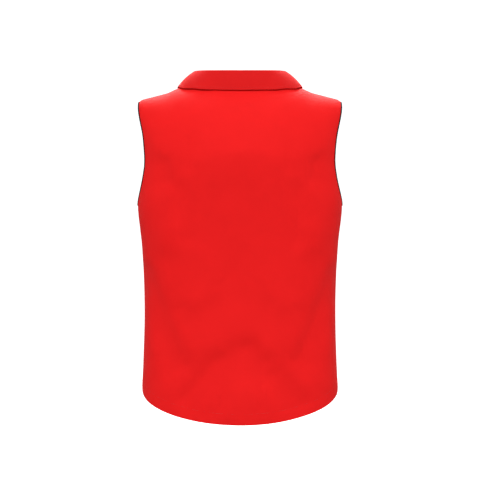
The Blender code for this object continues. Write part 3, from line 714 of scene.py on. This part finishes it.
def collar_section(angle, sign):
    """Points from the neck seam up the stand, over the roll and down the leaf, on the side that shows."""
    keys = column(COLLAR_TABLE_COLUMNS, COLLAR_TABLE, "angle")
    size = {
        name: float(curve_through(keys, column(COLLAR_TABLE_COLUMNS, COLLAR_TABLE, name), angle))
        for name in COLLAR_TABLE_COLUMNS[1:]
    }
    x, y = (float(value) for value in neck_place(math.radians(angle)))
    depth = NECK_BACK_DEPTH if y >= 0 else NECK_FRONT_DEPTH
    out = unit(np.array([x / NECK_HALF_WIDTH**2, y / depth**2, 0.0]))
    x = max(x, COLLAR_END)
    neck = body_point(x, y) + [0, 0, COLLAR_LIFT]
    edge_x = max(size["edge_x"], 0.0)
    edge = body_point(edge_x, size["edge_y"])
    edge = edge + body_normal(edge_x, size["edge_y"]) * (COLLAR_CLOTH + COLLAR_CLEAR)
    roll = np.array([x, y, size["roll_height"] - COLLAR_TURN]) + out * size["roll_out"]
    away = unit((edge - roll) * [1, 1, 0])
    start = roll - away * COLLAR_TURN
    points = [neck + (start - neck) * k / STAND_STEPS for k in range(STAND_STEPS)]
    for turn in np.linspace(math.pi, COLLAR_SLANT, TURN_STEPS + 1):
        points.append(roll + COLLAR_TURN * (away * math.cos(turn) + np.array([0, 0, math.sin(turn)])))
    begin = points[-1]
    pull = (begin + edge) / 2 - [0, 0, size["leaf_sag"]]
    t = np.linspace(0, 1, LEAF_STEPS + 1)[1:, None]
    leaf = begin * (1 - t) ** 2 + pull * 2 * t * (1 - t) + edge * t**2
    return np.concatenate([points, leaf_cleared(leaf)]) * [sign, 1, 1]


def smooth(mesh, sharp):
    mesh.shade_smooth()
    mesh.set_sharp_from_angle(angle=math.radians(sharp))


def add_object(name, bm, finish, sharp=50):
    """An object of the mesh, smooth across edges under that angle in degrees."""
    bmesh.ops.recalc_face_normals(bm, faces=bm.faces)
    mesh = bpy.data.meshes.new(name)
    bm.to_mesh(mesh)
    bm.free()
    smooth(mesh, sharp)
    mesh.materials.append(finish)
    made = bpy.data.objects.new(name, mesh)
    bpy.context.scene.collection.objects.link(made)
    return made


def ring(bm, radius, height, sides):
    angles = np.arange(sides) * 2 * math.pi / sides
    return [bm.verts.new((radius * math.cos(a), radius * math.sin(a), height)) for a in angles]


def thread_ring(bm, centre, side, up, radius):
    angles = np.arange(THREAD_SIDES) * 2 * math.pi / THREAD_SIDES
    return [bm.verts.new(centre + radius * (side * math.cos(a) + up * math.sin(a))) for a in angles]


def tube(bm, rings):
    """Faces of a tube through rings of vertices, with both ends closed."""
    for here, after in zip(rings[:-1], rings[1:]):
        for i in range(len(here)):
            j = (i + 1) % len(here)
            bm.faces.new((here[i], here[j], after[j], after[i]))
    bm.faces.new(rings[0][::-1])
    bm.faces.new(rings[-1])


def read_along(at, run, values):
    """Rows of three numbers, read at places along a run."""
    return np.stack([np.interp(at, run, values[:, k]) for k in range(3)], axis=-1)


def shell(name, outer, inner, faces, rim, flat, finish):
    """A closed wall between two skins of the same faces, with the cut's flat places as its UV, in metres."""
    bm = bmesh.new()
    layer = bm.loops.layers.uv.new("cut")
    place = {}
    skins = []
    for points in (outer, inner):
        verts = [bm.verts.new(point) for point in points]
        place.update((vert, tuple(uv)) for vert, uv in zip(verts, flat))
        skins.append(verts)
    for verts in skins:
        for face in faces:
            bm.faces.new([verts[k] for k in face])
    for here, after in zip(rim, rim[1:] + rim[:1]):
        bm.faces.new((skins[0][here], skins[0][after], skins[1][after], skins[1][here]))
    for face in bm.faces:
        for loop in face.loops:
            loop[layer].uv = place[loop.vert]
    return add_object(name, bm, finish)


def grid_shell(name, shown, hidden, finish):
    """A closed wall between two grids of points, with lengths along the shown one as its UV."""
    rows, columns = shown.shape[:2]
    at = np.arange(rows * columns).reshape(rows, columns)
    faces = np.stack([at[:-1, :-1], at[:-1, 1:], at[1:, 1:], at[1:, :-1]], axis=-1).reshape(-1, 4).tolist()
    rim = [*at[0].tolist(), *at[1:, -1].tolist(), *at[-1, -2::-1].tolist(), *at[-2:0:-1, 0].tolist()]
    down = run_of(shown[:, columns // 2])
    across = np.stack([run_of(line) for line in shown])
    flat = np.stack([np.repeat(down[:, None], columns, axis=1), across], axis=-1).reshape(-1, 2)
    return shell(name, shown.reshape(-1, 3), hidden.reshape(-1, 3), faces, rim, flat, finish)


def tucked(points, normals, under):
    """Points of the under front moved inside the upper one, and any others as they are."""
    if not under:
        return points
    depth = (CLOTH + LAP_GAP) * ease(1 + (points[:, 0] + LAP) / LAP_EASE)
    return points - normals * depth[:, None]


def inner_face(form, places, under=False):
    """Just inside a panel's inner face, and the skin's normals there."""
    points, normals = skin(form, places)
    return tucked(points - normals * (CLOTH + INSIDE_GAP), normals, under), normals


def panel(name, form, outline, strips, finish, under=False):
    """A cloth panel cut to its outline, as a thin shell."""
    places, faces = cut_out(outline, strips)
    outer, normals = skin(form, places)
    outer = tucked(outer, normals, under)
    rim = list(range(len(outline)))
    return shell(name, outer, outer - CLOTH * normals, faces, rim, places * [HALF_BACK, 1.0], finish)


def back_piece(finish):
    form = FORMS[BACK]
    half, strip = half_outline(form, 0.0, BACK_NECK_STEPS)
    outline = np.concatenate([half, half[-2:0:-1] * [-1, 1]])
    return panel("back_cloth", form, outline, [strip, strip * [-1, 1]], finish)


def front_piece(name, edge_side, finish):
    """edge_side is -1 for the left front, whose edge lies past the centre on -X, and 1 for the right one."""
    form = FORMS[FRONT]
    outline, strip = half_outline(form, -LAP, FRONT_NECK_STEPS)
    outline = np.concatenate([outline, front_edge(form, outline[-1])])
    outline, strip = outline * [-edge_side, 1], strip * [-edge_side, 1]
    return panel(name, form, outline, [strip], finish, edge_side > 0)


def strip_shell(name, lines, thickness, finish):
    """A strip of cloth through lines of points with normals, its wall going inwards."""
    points = np.array([line[0] for line in lines])
    normals = np.array([line[1] for line in lines])
    return grid_shell(name, points, points - normals * thickness, finish)


def hem_turn(name, form, start_girth, end_girth, under, finish):
    """The hem's cloth turned up inside."""
    edge = hem_line(form, start_girth, end_girth, HEM_TURN_STEPS)
    rises = np.linspace(0.0008, HEM_STITCH + 0.0015, 7)
    lines = [inner_face(form, hem_line_above(form, edge, above), under) for above in rises]
    return strip_shell(name, lines, HEM_CLOTH, finish)


def hem_line_above(form, edge, above):
    """The hem's line moved up the cloth, square to the edge."""
    slope = hem_slope(form.side, np.clip(np.abs(edge[:, 0]), 0, 1))
    return edge + np.stack([np.zeros(len(edge)), above * np.sqrt(1 + slope**2)], axis=1)


def allowance(name, form, line, finish):
    """A seam allowance pressed flat inside, along a line of places on the seam, which it covers."""
    step = [0, -1]
    if abs(line[0, 1] - line[-1, 1]) > 0.1:
        step = np.where(line[:, :1] > 0, -1.0, 1.0) * [1 / HALF_BACK, 0]
    lines = [inner_face(form, line + np.array(step) * reach) for reach in np.linspace(0.0, ALLOWANCE, 4)]
    past_seam = unit(lines[0][0] - lines[1][0]) * SEAM_COVER
    lines.insert(0, (lines[0][0] + past_seam, lines[0][1]))
    return strip_shell(name, lines, HEM_CLOTH, finish)


def neck_allowance(name, start_x, end_x, under, stand, finish):
    """The neck seam's allowance pressed flat inside, from the front's cloth up to the collar's stand."""
    form = FORMS[FRONT]
    angles = np.linspace(math.asin(start_x / NECK_HALF_WIDTH), math.asin(end_x / NECK_HALF_WIDTH), 60)
    x, y = neck_place(math.pi - angles)
    out = unit(np.stack([x / NECK_HALF_WIDTH**2, y / NECK_FRONT_DEPTH**2, 0 * x], axis=1))
    turned = np.copysign(math.pi - np.abs(angles), angles)
    round_neck = np.linspace(-math.pi, math.pi, len(stand))
    seam, top = (read_along(turned, round_neck, stand[:, step]) for step in (0, STAND_STEPS))
    share = np.minimum(NECK_RISE / np.linalg.norm(top - seam, axis=1), 1.0)[:, None]
    lines = [(points - out * INSIDE_GAP, out) for points in (seam + (top - seam) * share, seam)]
    for reach in np.linspace(0.0, NECK_REACH, 3):
        across, along = x + out[:, 0] * reach, y + out[:, 1] * reach
        lines.append(inner_face(form, form.places(across, form.level_above(across, along)), under))
    return strip_shell(name, lines, HEM_CLOTH, finish)


def binding_rows(sign):
    """Edge point, normal and end of the strip, round the armhole from the underarm up the back."""
    rows = []
    for side, steps in ((BACK, range(ARMHOLE_STEPS + 1)), (FRONT, range(ARMHOLE_STEPS - 1, 0, -1))):
        armhole = armhole_line(FORMS[side])
        ends, _ = skin(FORMS[side], binding_line(FORMS[side], armhole) * [sign, 1])
        edge, normals = skin(FORMS[side], armhole * [sign, 1])
        rows += [(edge[k], normals[k], ends[k]) for k in steps]
    return rows


def binding(name, sign, finish):
    """A strip folded over the armhole's edge, with a rounded fold."""
    rows = binding_rows(sign)
    run = run_of(np.array([row[0] for row in (*rows, rows[0])]))
    low, high, half = BINDING_GAP, BINDING_GAP + BINDING_CLOTH, CLOTH / 2
    arc = np.linspace(math.pi / 2, -math.pi / 2, 9)
    fold, past_fold = BINDING_CLOTH, BINDING_CLOTH * 3.75
    across = [-reach * BINDING_WIDTH for reach, _ in BINDING_PROFILE]
    across += [fold * (math.pi / 2 - angle) for angle in arc]
    across += [past_fold + reach * BINDING_WIDTH for reach, _ in BINDING_PROFILE[::-1]]
    across += [past_fold + BINDING_WIDTH] * len(BINDING_LINING)
    bm = bmesh.new()
    layer = bm.loops.layers.uv.new("cut")
    loops = []
    for (edge, normal, end), place in zip(rows, run):
        beyond = unit((edge - end) - normal * ((edge - end) @ normal))
        middle = edge - normal * half
        swell = 1 + 0.10 * ripple(place, 0.0083) + 0.08 * ripple(place, 0.021)
        cloth = BINDING_CLOTH * swell
        section = [(-reach * BINDING_WIDTH, half + low + cloth * fat) for reach, fat in BINDING_PROFILE]
        other_side = [(along, -out) for along, out in section[::-1]]
        section += [(high * 1.15 * math.cos(angle), (half + high) * math.sin(angle)) for angle in arc]
        section += other_side
        for reach, past, side in BINDING_LINING:
            section.append((low * past - BINDING_WIDTH * reach, side * (half + low)))
        loops.append([bm.verts.new(middle + beyond * along + normal * out) for along, out in section])
    for k, here in enumerate(loops):
        after = loops[(k + 1) % len(loops)]
        for i in range(len(here)):
            j = (i + 1) % len(here)
            face = bm.faces.new((here[i], here[j], after[j], after[i]))
            corners = ((i, k), (j, k), (j, k + 1), (i, k + 1))
            for loop, (column_at, row_at) in zip(face.loops, corners):
                loop[layer].uv = (across[column_at], run[row_at])
    return add_object(name, bm, finish, 70)


def collar_thickness(rows, columns):
    """Full in the middle, thinner at the pressed edges of the leaf."""
    i = np.arange(rows)[:, None] / (rows - 1)
    j = np.arange(columns)[None, :]
    at_end = np.exp(-((np.minimum(i, 1 - i) / 0.006) ** 2))
    at_edge = np.exp(-(((columns - 1 - j) / 0.8) ** 2))
    return COLLAR_CLOTH * (1 - 0.45 * np.maximum(at_end, at_edge))


def collar_grid():
    """Shown points of the collar, the way into its wall, and the piece's own slight unevenness."""
    angles = np.linspace(0, 180, COLLAR_SECTIONS + 1)
    half = np.array([collar_section(angle, 1) for angle in angles])
    fine = np.linspace(0, 180, COLLAR_STEPS + 1)
    flat = half.reshape(len(angles), -1)
    half = np.stack([curve_through(angles, values, fine) for values in flat.T], axis=1)
    half = half.reshape(len(fine), -1, 3)
    shown = np.concatenate([half[:0:-1] * [-1, 1, 1], half])
    along, across = np.gradient(shown, axis=0), np.gradient(shown, axis=1)
    inward = unit(np.cross(along, across))
    if inward[COLLAR_STEPS, 0, 1] < 0:
        inward = -inward
    share = np.clip((np.arange(shown.shape[1]) - STAND_STEPS - TURN_STEPS) / LEAF_STEPS, 0, 1)
    run = run_of(shown[:, -1])[:, None]
    wave = sum(height * np.sin(run * turn + phase) for height, turn, phase in COLLAR_WAVES)
    bow = 0.0008 * np.sin(math.pi * share)[None, :]
    return shown - inward * ((wave + 0.0005) * share[None, :] ** 0.7 + bow)[..., None], inward


def collar_piece(finish):
    shown, inward = collar_grid()
    groove = collar_groove(shown)
    shown = shown + inward * groove[..., None]
    hidden = shown + inward * collar_thickness(*shown.shape[:2])[..., None]
    return grid_shell("collar_cloth", shown, hidden, finish), shown, inward


def collar_groove(shown):
    """A shallow groove along the edge stitching."""
    from_edge = np.stack([run_of(line[::-1])[::-1] for line in shown])
    return 0.00022 * np.exp(-(((from_edge - COLLAR_STITCH) / 0.0012) ** 2))


def stitches(name, points, normals, finish):
    """A row of thread stitches lying on the cloth along a line."""
    run = run_of(points)
    count = int(run[-1] / STITCH_PITCH)
    bm = bmesh.new()
    for k in range(count):
        start = (k + 0.5) * run[-1] / count - STITCH_LENGTH / 2
        rings = []
        for share, lift in STITCH_ARCH:
            at = start + share * STITCH_LENGTH
            normal = unit(read_along(at, run, normals))
            ahead, behind = (read_along(at + step, run, points) for step in (0.0004, -0.0004))
            centre = read_along(at, run, points) + normal * THREAD * lift
            rings.append(thread_ring(bm, centre, unit(np.cross(ahead - behind, normal)), normal, THREAD))
        tube(bm, rings)
    return add_object(name, bm, finish, 80)


def hem_stitches(name, form, start_girth, end_girth, under, finish):
    edge = hem_line(form, start_girth, end_girth, HEM_TURN_STEPS)
    points, normals = skin(form, hem_line_above(form, edge, HEM_STITCH))
    return stitches(name, tucked(points, normals, under), normals, finish)


def edge_stitches(name, edge_side, finish):
    """Down the front's edge, a little inside it."""
    form = FORMS[FRONT]
    top = neck_line(form, -LAP + EDGE_STITCH, 4)[0, 1] - 0.004
    foot = float(hem_height(FRONT, 0.0)) - form.start + 0.003
    places = form.places(np.full(160, -LAP + EDGE_STITCH), np.linspace(top, foot, 160))
    points, normals = skin(form, places * [-edge_side, 1])
    return stitches(name, tucked(points, normals, edge_side > 0), normals, finish)


def collar_stitches(shown, inward, finish):
    """Round the leaf, a little inside its edges."""
    turned = STAND_STEPS + TURN_STEPS
    first = int(np.searchsorted(run_of(shown[:, -1]), COLLAR_STITCH))
    last = len(shown) - 1 - first
    found = []
    for i in range(first, last + 1):
        run = run_of(shown[i])
        stops = run[-1:] - COLLAR_STITCH
        if i in (first, last):
            stops = np.linspace(run[turned], run[-1] - COLLAR_STITCH, 24)
        if i == last:
            stops = stops[::-1]
        found.append([read_along(stops, run, values) for values in (shown[i], -inward[i])])
    points, normals = (np.concatenate(rows) for rows in zip(*found))
    return stitches("collar_stitches", points, normals, finish)


def set_on_front(made, height):
    """Moves a piece made round the origin to the fronts' centre line at that height."""
    form = FORMS[FRONT]
    (here,), (normal,) = skin(form, np.array([[0.0, float(form.level_at(0.0, height))]]))
    turn = Vector(normal.tolist()).to_track_quat("Z", "Y")
    made.data.transform(turn.to_matrix().to_4x4())
    made.data.transform(Matrix.Translation(here.tolist()))
    return made


def button(name, height, finish):
    """A turned disc with a rim, a shallow well and four holes."""
    bm = bmesh.new()
    top = BUTTON_SEAT + BUTTON_DEPTH
    well, rim = top - BUTTON_WELL, BUTTON_RADIUS - BUTTON_RIM * 1.4
    profile = (
        (BUTTON_RADIUS - BUTTON_RIM, BUTTON_SEAT),
        (BUTTON_RADIUS - BUTTON_RIM * 0.3, BUTTON_SEAT + BUTTON_RIM * 0.25),
        (BUTTON_RADIUS, BUTTON_SEAT + BUTTON_RIM * 0.7),
        (BUTTON_RADIUS, top - BUTTON_RIM * 0.5),
        (BUTTON_RADIUS - BUTTON_RIM * 0.15, top - BUTTON_RIM * 0.15),
        (BUTTON_RADIUS - BUTTON_RIM * 0.6, top),
        (BUTTON_RADIUS - BUTTON_RIM * 1.0, top - BUTTON_WELL * 0.3),
        (rim, well),
        (rim * 0.9, well - 0.0001),
    )
    tube(bm, [ring(bm, radius, level, 48) for radius, level in profile])
    body = add_object(name, bm, finish, BUTTON_SHARP)
    drills = bmesh.new()
    for x, y in BUTTON_HOLES:
        made = bmesh.ops.create_cone(
            drills, cap_ends=True, segments=16, radius1=HOLE_RADIUS, radius2=HOLE_RADIUS, depth=0.02)
        bmesh.ops.translate(drills, verts=made["verts"], vec=(x, y, 0))
    cutter = add_object(name + "_holes", drills, finish)
    cut = body.modifiers.new("holes", "BOOLEAN")
    cut.operation = "DIFFERENCE"
    cut.solver = "EXACT"
    cut.object = cutter
    graph = bpy.context.evaluated_depsgraph_get()
    mesh = bpy.data.meshes.new_from_object(body.evaluated_get(graph))
    body.modifiers.clear()
    body.data = mesh
    smooth(mesh, BUTTON_SHARP)
    bpy.data.objects.remove(cutter)
    return set_on_front(body, height)


def button_thread(name, height, finish):
    """Two crossed bundles of thread through the holes."""
    bm = bmesh.new()
    up = Vector((0, 0, 1))
    foot = BUTTON_SEAT + BUTTON_DEPTH - BUTTON_WELL - STRAND_SINK
    for k, ends in enumerate(((0, 2), (1, 3))):
        start, end = (Vector((*BUTTON_HOLES[hole], 0)) for hole in ends)
        side = (end - start).cross(up).normalized()
        for strand in (-1, 0, 1):
            rings = []
            for share in np.linspace(0, 1, 9):
                arch = math.sin(math.pi * share) ** 0.6
                level = foot + arch * (STRAND_ARCH + 0.0003 * k - 0.0001 * abs(strand))
                centre = start.lerp(end, share) + side * strand * STRAND_STEP + up * level
                rings.append(thread_ring(bm, centre, side, up, STRAND))
            tube(bm, rings)
    return set_on_front(add_object(name, bm, finish, 80), height)


def buttonhole(name, height, finish):
    """A worked buttonhole: close stitches round an upright slit, partly under the button."""
    form = FORMS[FRONT]
    bm = bmesh.new()
    angles = np.arange(120) / 120 * 2 * math.pi
    x = HOLE_HALF_WIDTH * np.clip(1.6 * np.cos(angles), -1, 1)
    level = form.level_at(0.0, height + HOLE_RISE + HOLE_HALF_LENGTH * np.sin(angles))
    places, normals = skin(form, form.places(x, level))
    for place, normal in zip(places.tolist(), normals.tolist()):
        up = Vector(normal)
        centre = Vector(place) + up * INSIDE_GAP
        wide, deep = HOLE_STITCH
        corners = [centre + Vector((x * wide, 0, z * deep)) for x, z in ((-1, -1), (1, -1), (1, 1), (-1, 1))]
        low = [bm.verts.new(corner) for corner in corners]
        high = [bm.verts.new(corner.lerp(centre, 0.25) + up * HOLE_STITCH_RISE) for corner in corners]
        tube(bm, [low, high])
    return add_object(name, bm, finish, 80)


class Nodes:
    """A material's node tree with short ways to add to it."""

    def __init__(self, name):
        self.material = bpy.data.materials.new(name)
        self.material.use_nodes = True
        self.tree = self.material.node_tree
        self.shader = self.tree.nodes["Principled BSDF"]

    def add(self, kind, **settings):
        node = self.tree.nodes.new(kind)
        for name, value in settings.items():
            setattr(node, name, value)
        return node

    def give(self, socket, value):
        """A socket's value, or a link into it from another socket."""
        if isinstance(value, bpy.types.NodeSocket):
            self.tree.links.new(value, socket)
        elif value is not None:
            socket.default_value = value

    def fill(self, node, **values):
        """A node's inputs by their names, with _ for each space."""
        for name, value in values.items():
            self.give(node.inputs[name.replace("_", " ")], value)
        return node

    def math(self, operation, first, second=None):
        node = self.add("ShaderNodeMath", operation=operation)
        self.give(node.inputs[0], first)
        self.give(node.inputs[1], second)
        return node.outputs[0]

    def noise(self, vector, scale, detail=2.0, rough=0.5):
        node = self.add("ShaderNodeTexNoise")
        return self.fill(node, Vector=vector, Scale=scale, Detail=detail, Roughness=rough).outputs["Fac"]

    def bump(self, height, strength, distance, under=None):
        node = self.add("ShaderNodeBump")
        self.fill(node, Height=height, Strength=strength, Distance=distance, Normal=under)
        return node.outputs["Normal"]

    def mix(self, factor, first, second):
        """A colour between two others."""
        node = self.add("ShaderNodeMix", data_type="RGBA")
        self.fill(node, Factor=factor, A=(*first, 1.0), B=(*second, 1.0))
        return node.outputs["Result"]

    def place(self):
        return self.add("ShaderNodeTexCoord").outputs["Object"]


def weave(nodes, pitch):
    """Height of a plain weave over the cut's UV: warp over weft in one cell, weft over warp in the next."""
    uv = nodes.add("ShaderNodeUVMap", uv_map="cut").outputs["UV"]
    split = nodes.add("ShaderNodeSeparateXYZ")
    nodes.give(split.inputs[0], uv)
    u, v = (nodes.math("DIVIDE", split.outputs[axis], pitch) for axis in "XY")
    cell = nodes.math("ADD", nodes.math("FLOOR", u), nodes.math("FLOOR", v))
    odd = nodes.math("ABSOLUTE", nodes.math("MODULO", cell, 2.0))
    warp, weft = (
        nodes.math("ABSOLUTE", nodes.math("SINE", nodes.math("MULTIPLY", run, math.pi))) for run in (u, v)
    )
    over = nodes.math("MULTIPLY", warp, odd)
    under = nodes.math("MULTIPLY", weft, nodes.math("SUBTRACT", 1.0, odd))
    return nodes.math("ADD", over, under), uv


def cloth_material(name, dark, light, pitch, sheen, roughness):
    """Woven cloth: thread height and slubs as bumps, slight unevenness of dye, and a soft sheen."""
    nodes = Nodes(name)
    height, uv = weave(nodes, pitch)
    place = nodes.place()
    stretched = nodes.fill(nodes.add("ShaderNodeMapping"), Vector=uv, Scale=(1.0, 0.16, 1.0))
    slub = nodes.noise(stretched.outputs["Vector"], 900.0, 2.0, 0.6)
    cloud = nodes.noise(place, 26.0, 3.0, 0.55)
    fuzz = nodes.noise(place, 420.0, 2.0, 0.6)
    shade = nodes.math("ADD", nodes.math("MULTIPLY", cloud, 0.55), nodes.math("MULTIPLY", slub, 0.45))
    grain = nodes.math("MULTIPLY", nodes.math("SUBTRACT", slub, 0.5), 0.16)
    normal = nodes.bump(cloud, 0.25, 0.0010)
    normal = nodes.bump(fuzz, 0.20, 0.0004, normal)
    normal = nodes.bump(slub, 0.22, 0.0002, normal)
    nodes.fill(
        nodes.shader,
        Base_Color=nodes.mix(shade, dark, light),
        Normal=nodes.bump(height, 0.45, pitch * 0.30, normal),
        Roughness=nodes.math("ADD", grain, roughness),
        Sheen_Weight=sheen,
        Sheen_Roughness=0.45,
        Sheen_Tint=(*SHEEN_TINT, 1.0),
        Specular_IOR_Level=0.12,
    )
    nodes.material.diffuse_color = (*light, 1.0)
    return nodes.material


def thread_material(name, colour):
    nodes = Nodes(name)
    twist = nodes.noise(nodes.place(), 2600.0, 1.0)
    shade = nodes.mix(twist, tuple(part * 0.8 for part in colour), colour)
    bump = nodes.bump(twist, 0.3, 0.0001)
    nodes.fill(nodes.shader, Base_Color=shade, Normal=bump, Roughness=0.48, Sheen_Weight=0.1)
    return nodes.material


def button_material(name, dark, light):
    nodes = Nodes(name)
    place = nodes.place()
    cloud = nodes.noise(place, 190.0, 3.0, 0.5)
    scuff = nodes.noise(place, 1400.0, 3.0, 0.7)
    rough = nodes.math("ADD", nodes.math("MULTIPLY", scuff, 0.18), 0.16)
    nodes.fill(nodes.shader, Base_Color=nodes.mix(cloud, dark, light), Roughness=rough)
    nodes.fill(nodes.shader, Normal=nodes.bump(scuff, 0.12, 0.0001), Coat_Weight=0.3, Coat_Roughness=0.15)
    return nodes.material


def floor_material():
    nodes = Nodes("pale floor")
    nodes.fill(nodes.shader, Base_Color=(0.9, 0.9, 0.9, 1.0), Roughness=0.9, Specular_IOR_Level=0.1)
    nodes.fill(nodes.shader, Emission_Color=(1.0, 1.0, 1.0, 1.0), Emission_Strength=FLOOR_GLOW)
    return nodes.material


def floor_and_wall():
    """A pale floor that curves up into a wall on every side that a view may look along."""
    bm = bmesh.new()
    turns = np.linspace(-math.pi / 2, 0, 13)
    profile = [(WALL_RADIUS + WALL_CURVE * (math.cos(a) - 1), WALL_CURVE * (1 + math.sin(a))) for a in turns]
    profile.append((WALL_RADIUS, WALL_HEIGHT))
    centre = bm.verts.new((0, 0, FLOOR))
    loops = [ring(bm, radius, FLOOR + height, 64) for radius, height in profile]
    for i in range(len(loops[0])):
        j = (i + 1) % len(loops[0])
        bm.faces.new((centre, loops[0][i], loops[0][j]))
        for here, after in zip(loops[:-1], loops[1:]):
            bm.faces.new((here[i], after[i], after[j], here[j]))
    made = add_object("floor", bm, floor_material(), 80)
    made.visible_diffuse = False
    made.visible_glossy = False


def area_light(name, place, target, size, power):
    data = bpy.data.lights.new(name, "AREA")
    data.shape = "RECTANGLE"
    data.size, data.size_y = size
    data.energy = power
    made = bpy.data.objects.new(name, data)
    made.location = place
    made.rotation_euler = (Vector(target) - Vector(place)).to_track_quat("-Z", "Y").to_euler()
    bpy.context.scene.collection.objects.link(made)


def light_and_camera():
    scene = bpy.context.scene
    scene.world = bpy.data.worlds.new("studio")
    scene.world.use_nodes = True
    background = scene.world.node_tree.nodes["Background"]
    background.inputs["Color"].default_value = (1.0, 1.0, 1.0, 1.0)
    background.inputs["Strength"].default_value = WORLD_LIGHT
    for light in LIGHTS:
        area_light(*light)
    scene.view_settings.view_transform = "Standard"
    scene.view_settings.look = "None"
    camera = bpy.data.objects.new("camera", bpy.data.cameras.new("camera"))
    scene.collection.objects.link(camera)
    camera.location = (-AXIS_PIXELS_LEFT * PIXEL, CAMERA_DISTANCE, VIEW_HEIGHT)
    camera.rotation_euler = (math.pi / 2, 0, math.pi)
    camera.data.sensor_fit = "HORIZONTAL"
    camera.data.angle = 2 * math.atan(FRAME_PIXELS * PIXEL / 2 / CAMERA_DISTANCE)
    camera.data.clip_end = 50
    scene.camera = camera


def main():
    red = cloth_material("red_cloth", CLOTH_DARK, CLOTH_LIGHT, CLOTH_PITCH, sheen=0.04, roughness=0.72)
    # The collar's material is the body's red cloth made darker, as painted shade.
    collar_red_painted_shade = cloth_material(
        "collar_cloth_painted_shade", COLLAR_PAINTED_SHADE_DARK, COLLAR_PAINTED_SHADE_LIGHT, CLOTH_PITCH, sheen=0.015, roughness=0.85)
    black = cloth_material("black_binding", BLACK_DARK, BLACK_LIGHT, TAPE_PITCH, sheen=0.02, roughness=0.80)
    red_thread = thread_material("red_thread", THREAD_RED)
    plastic = button_material("red_plastic", BUTTON_DARK, BUTTON_LIGHT)
    back_form, front_form = FORMS[BACK], FORMS[FRONT]
    back = back_piece(red)
    left = front_piece("front_left_cloth", -1, red)
    right = front_piece("front_right_cloth", 1, red)
    collar, shown, inward = collar_piece(collar_red_painted_shade)
    lap = float(front_form.girth_at(-LAP, hem_height(FRONT, 0.0) - front_form.start))
    on_back = [hem_turn("hem_turn_back", back_form, -HEM_END, HEM_END, False, red)]
    for side, sign in SIDES:
        seam = straight(back_form, *((sign, height - back_form.start) for height in SIDE_SEWN), 60)
        on_back.append(allowance(f"side_allowance_{side}", back_form, seam, red))
        ends = [(sign * float(back_form.girth_at(x, back_form.top)), back_form.top) for x in SHOULDER_SEWN]
        seam = straight(back_form, *ends, 24)
        on_back.append(allowance(f"shoulder_allowance_{side}", back_form, seam, red))
    on_back.append(hem_stitches("hem_stitches_back", back_form, -HEM_SEWN, HEM_SEWN, False, red_thread))
    on_left = [
        hem_turn("hem_turn_left", front_form, lap, HEM_END, False, red),
        neck_allowance("neck_allowance_left", LAP + NECK_CLEAR, NECK_END, False, shown, red),
        hem_stitches("hem_stitches_left", front_form, lap + HEM_INSET, HEM_SEWN, False, red_thread),
        edge_stitches("edge_stitches_left", -1, red_thread),
    ]
    on_right = [
        hem_turn("hem_turn_right", front_form, -HEM_END, -lap, True, red),
        neck_allowance("neck_allowance_right", LAP - NECK_INSET, -NECK_END, True, shown, red),
        hem_stitches("hem_stitches_right", front_form, -HEM_SEWN, -lap - HEM_INSET, True, red_thread),
        edge_stitches("edge_stitches_right", 1, red_thread),
    ]
    pieces = [
        (back, "back", "cloth", BACK_CUT, on_back),
        (left, "front_left", "cloth", FRONT_CUT, on_left),
        (right, "front_right", "cloth", FRONT_CUT, on_right),
        (collar, "collar", "cloth", COLLAR_CUT, [collar_stitches(shown, inward, red_thread)]),
    ]
    for side, sign in SIDES:
        node = f"armhole_binding_{side}"
        pieces.append((binding(f"{node}_cloth", sign, black), node, "binding", BINDING_CUT, []))
    for k in range(BUTTONS):
        height = TOP_BUTTON - k * BUTTON_STEP
        made = button(f"button_{k + 1}_plastic", height, plastic)
        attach(made, "root")
        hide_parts(f"button_{k + 1}")
        on_left.append(button_thread(f"button_thread_{k + 1}", height, red_thread))
        on_left.append(buttonhole(f"buttonhole_{k + 1}", height, red_thread))
    for piece, node, slot, (width, length, area), others in pieces:
        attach(piece, "root")
        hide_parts(node)
        for other in others:
            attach(other, "root")
    floor_and_wall()
    light_and_camera()


main()
